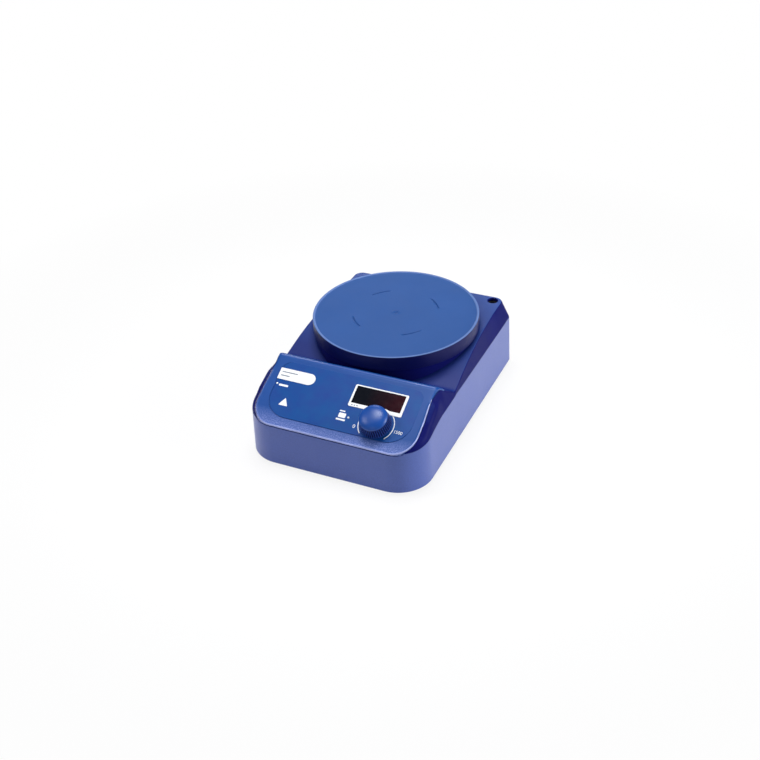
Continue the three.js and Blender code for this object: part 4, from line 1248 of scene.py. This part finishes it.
def build_plate():
    """A cup turned upside down: rim, grooves and centre mark above, three screw posts below."""
    outside, inside = PLATE_RADIUS, PLATE_RADIUS - PLATE_SKIRT
    under, level = PLATE_TOP - PLATE_THICKNESS, PLATE_TOP - RIM_HEIGHT
    corners = [
        (0, under, 0), (inside, under, 0.8), (inside, PLATE_LOW, 0.3), (outside, PLATE_LOW, 0.4),
        (outside, PLATE_TOP, 0.8), (outside - 1.4, PLATE_TOP, 0.4), (outside - 1.9, level, 0.3),
    ]
    groove = steps(GROOVE_RADIUS + GROOVE_HALF_WIDTH, GROOVE_RADIUS - GROOVE_HALF_WIDTH, 10)
    rings = [60, 52, 44, 38, groove[0] + 0.1] + groove + [34, 30, 20, 10, 5, 3.2]
    corners += [(ring, level, 0) for ring in rings]
    corners += [(2.4, level + 0.3, 0.3), (1.6, level - 0.2, 0.3)]
    corners += [(0.8, level - 0.8, 0.2), (0, level - 0.9, 0)]
    plate = turned("stirrer_plate", soft_profile(corners, 6), 360, DRIVE, plate_shape)
    posts_low = max(PEDESTAL_TOP + 0.3, plate_low.z - FOOT)
    for node in nodes_named("plate_screw"):
        join(plate, upright(PLATE_POST_RADIUS, posts_low, under + 1, *node_middle(node), 28))
        cut(plate, upright(PLATE_BORE_RADIUS, 60, under + 0.5, *node_middle(node), 20))
    dress(plate, "plate_plastic", ["top_plate"])


def build_rod_socket():
    """A steel bush with rings for its thread."""
    low, high = node_box("rod_socket")
    low_z, high_z = low.z - FOOT, high.z - FOOT
    outer = (high.x - low.x) / 2 - 0.05
    pitch = 1.25
    profile = [(4.4, high_z)]
    for i in range(int((high_z - low_z - 1) / pitch)):
        z = high_z - 0.6 - i * pitch
        profile += [(4.15, z), (3.75, z - pitch / 2)]
    profile += [(4.2, low_z), (outer, low_z), (outer, high_z), (4.4, high_z)]
    bush = turned("rod_socket_thread", profile, 64, moved(BODY, *ROD_HOLE))
    dress(bush, "blackened_steel", ["rod_socket"])


def build_feet():
    corners = [
        (0, -2.6, 0), (4.6, -2.6, 0.3), (5.2, -3, 0.3), (7.4, -3, 0.6), (7.9, -1.8, 0.5), (7.9, 0.2, 0.5),
        (3, 0.25, 0), (3, 2.9, 0), (3.7, 3.0, 0.2), (2.4, 5, 0.3), (0, 5, 0),
    ]
    for node in nodes_named("foot_"):
        pad = turned(node + "_pad", soft_profile(corners), 64, moved(BODY, *node_middle(node)))
        dress(pad, "foot_rubber", [node])


def build_case_screws():
    """Pan heads with a cross recess on plain shanks."""
    corners = [
        (0, 0, 0), (2.2, 0.05, 0.4), (2.95, 0.8, 0.4), (2.95, 1.6, 0.1), (1.5, 1.6, 0), (1.5, 13.4, 0.5),
        (0, 14.4, 0),
    ]
    for node in nodes_named("case_screw"):
        place = moved(BODY, *node_middle(node), node_box(node)[0].z - FOOT)
        screw = turned(node + "_turned", soft_profile(corners), 40, place)
        for long_x, long_y in ((1.7, 0.4), (0.4, 1.7)):
            cut(screw, box_tool(-long_x, long_x, -long_y, long_y, -1, 0.9, place))
        dress(screw, "zinc_steel", [node])


def build_inlet_pins():
    """Metal blades over the inlet's moulded ones."""
    low, high = node_box("power_inlet")
    x0, z0 = (low.x + high.x) / 2, (low.z + high.z) / 2 - FOOT
    place = BODY @ Matrix.Rotation(math.pi / 2, 4, "X")
    for i, (x, z) in enumerate(((-7, 3.5), (0, 7.5), (7, 3.5))):
        outline = rounded_box(x0 + x - 1.08, x0 + x + 1.08, z0 + z - 2.08, z0 + z + 2.08, [0.5] * 4, 4)
        pin = slab(f"inlet_blade_{i + 1}", outline, -HALF_DEPTH + 0.9, -HALF_DEPTH + 15.9, place)
        dress(pin, "zinc_steel", finish=FINISHES["magnet_nickel"])


def finish_cad_nodes():
    """CAD pieces that stay: flat facets joined, edges rounded, and a real finish."""
    slots = {part["node"]: part["material_slot"] for part in frame["record"]["subparts"]}
    for node, made in frame["nodes"].items():
        if made.hide_render:
            continue
        made.data.materials.clear()
        made.data.materials.append(FINISHES[slots[node]])
        shade(made.data, 32)
        weld = made.modifiers.new("weld", "WELD")
        weld.merge_threshold = 0.001 * MM
        flat = made.modifiers.new("flat", "DECIMATE")
        flat.decimate_type = "DISSOLVE"
        flat.angle_limit = math.radians(1)
        edge = made.modifiers.new("edge", "BEVEL")
        edge.width = 0.22 * MM
        edge.segments = 2
        edge.limit_method = "ANGLE"
        edge.angle_limit = math.radians(38)


# ---- Studio ----

AIM = (0, 0, 0.04)
LIGHTS = {  # place, size, power, colour
    "overhead": ((-0.05, 0.1, 1.15), (0.55, 0.5), 10.5, (1, 1, 1)),
    "right_side": ((1.15, 0.25, 0.4), (0.6, 0.5), 11, (1, 1, 1)),
    "left_fill": ((-0.72, -0.42, 0.8), (0.3, 0.35), 3.5, (1, 0.97, 0.98)),
    "back_rim": ((-0.45, 0.95, 0.6), (0.3, 0.12), 1.2, (1, 1, 1)),
    "front_fill": ((0.1, -1.3, 0.5), (0.6, 0.4), 1.4, (1, 1, 1)),
}


def add_light(name, place, size, power, color):
    data = bpy.data.lights.new(name, "AREA")
    data.shape = "RECTANGLE"
    data.size, data.size_y = size
    data.energy = power
    data.color = color
    lamp = linked(name, data)
    lamp.location = place
    lamp.rotation_euler = (Vector(AIM) - Vector(place)).to_track_quat("-Z", "Y").to_euler()


def white_to_camera(tree, shader, output, strength):
    """Shows a shader to the camera as nearly plain white, and leaves it as it is for everything else.

    strength is a number or a socket: 1 gives plain white.
    """
    camera_ray = add_node(tree, "ShaderNodeLightPath", {}).outputs["Is Camera Ray"]
    share = add_node(tree, "ShaderNodeMath", {0: camera_ray, 1: strength}, operation="MULTIPLY")
    plain = add_node(tree, "ShaderNodeEmission", {0: (1, 1, 1, 1)})
    mixed = add_node(tree, "ShaderNodeMixShader", {
        0: share.outputs[0], 1: shader.outputs[0], 2: plain.outputs[0],
    })
    tree.links.new(mixed.outputs[0], tree.nodes[output].inputs["Surface"])


def build_floor():
    """A pale table that darkens far away for everything but the camera."""
    corners = [(-4, -4, 0), (4, -4, 0), (4, 4, 0), (-4, 4, 0)]
    floor = new_object("studio_floor", corners, [(0, 1, 2, 3)], Matrix())
    pale = Finish("pale_floor", (0.86, 0.86, 0.87), 0.8)
    away = pale.vector("LENGTH", pale.place)["Value"]
    table = pale.remap(away, 1, 0, 0.25, 0.6)
    near = pale.vary_color((0.85, 0.85, 0.86), 0.01, 200)
    pale.connect(pale.mix(table, (0.10, 0.10, 0.12), near), "Base Color")
    white_to_camera(pale.tree, pale.shader, "Material Output", pale.remap(away, 0.86, 1, 0.15, 0.5))
    floor.data.materials.append(pale.material)


def build_world():
    world = bpy.data.worlds.new("studio")
    bpy.context.scene.world = world
    world.use_nodes = True
    background = world.node_tree.nodes["Background"]
    background.inputs[0].default_value = (0.9, 0.93, 1, 1)
    background.inputs[1].default_value = 0.16
    white_to_camera(world.node_tree, background, "World Output", 1)


CAMERA_AZIMUTH = math.radians(26.18)
CAMERA_ELEVATION = math.radians(34.44)
CAMERA_ROLL = math.radians(-2.91)
CAMERA_DISTANCE = 966
CAMERA_ASIDE = -3.02
CAMERA_RAISED = 19.51
SENSOR = 36.0
FOCAL_SHARE = 1.5361  # focal length as a share of the sensor's width


def build_camera():
    a, e, r = CAMERA_AZIMUTH, CAMERA_ELEVATION, CAMERA_ROLL
    back = Vector((math.sin(a) * math.cos(e), -math.cos(a) * math.cos(e), math.sin(e)))
    level = Vector((math.cos(a), math.sin(a), 0))
    above = back.cross(level)
    right = level * math.cos(r) + above * math.sin(r)
    up = above * math.cos(r) - level * math.sin(r)
    place = back * CAMERA_DISTANCE + right * CAMERA_ASIDE + up * CAMERA_RAISED
    data = bpy.data.cameras.new("camera")
    data.sensor_width = SENSOR
    data.lens = SENSOR * FOCAL_SHARE
    camera = linked("camera", data)
    turn = Matrix((right, up, back)).transposed().to_4x4()
    camera.matrix_world = Matrix.Translation(BODY @ place) @ turn
    bpy.context.scene.camera = camera


build_housing()
build_panel()
build_bead()
build_display()
build_label()
build_lamps()
build_marks()
build_knob()
build_plate()
build_rod_socket()
build_feet()
build_case_screws()
build_inlet_pins()
finish_cad_nodes()
build_floor()
build_world()
for light, settings in LIGHTS.items():
    add_light(light, *settings)
build_camera()
bpy.context.scene.view_settings.view_transform = "Standard"
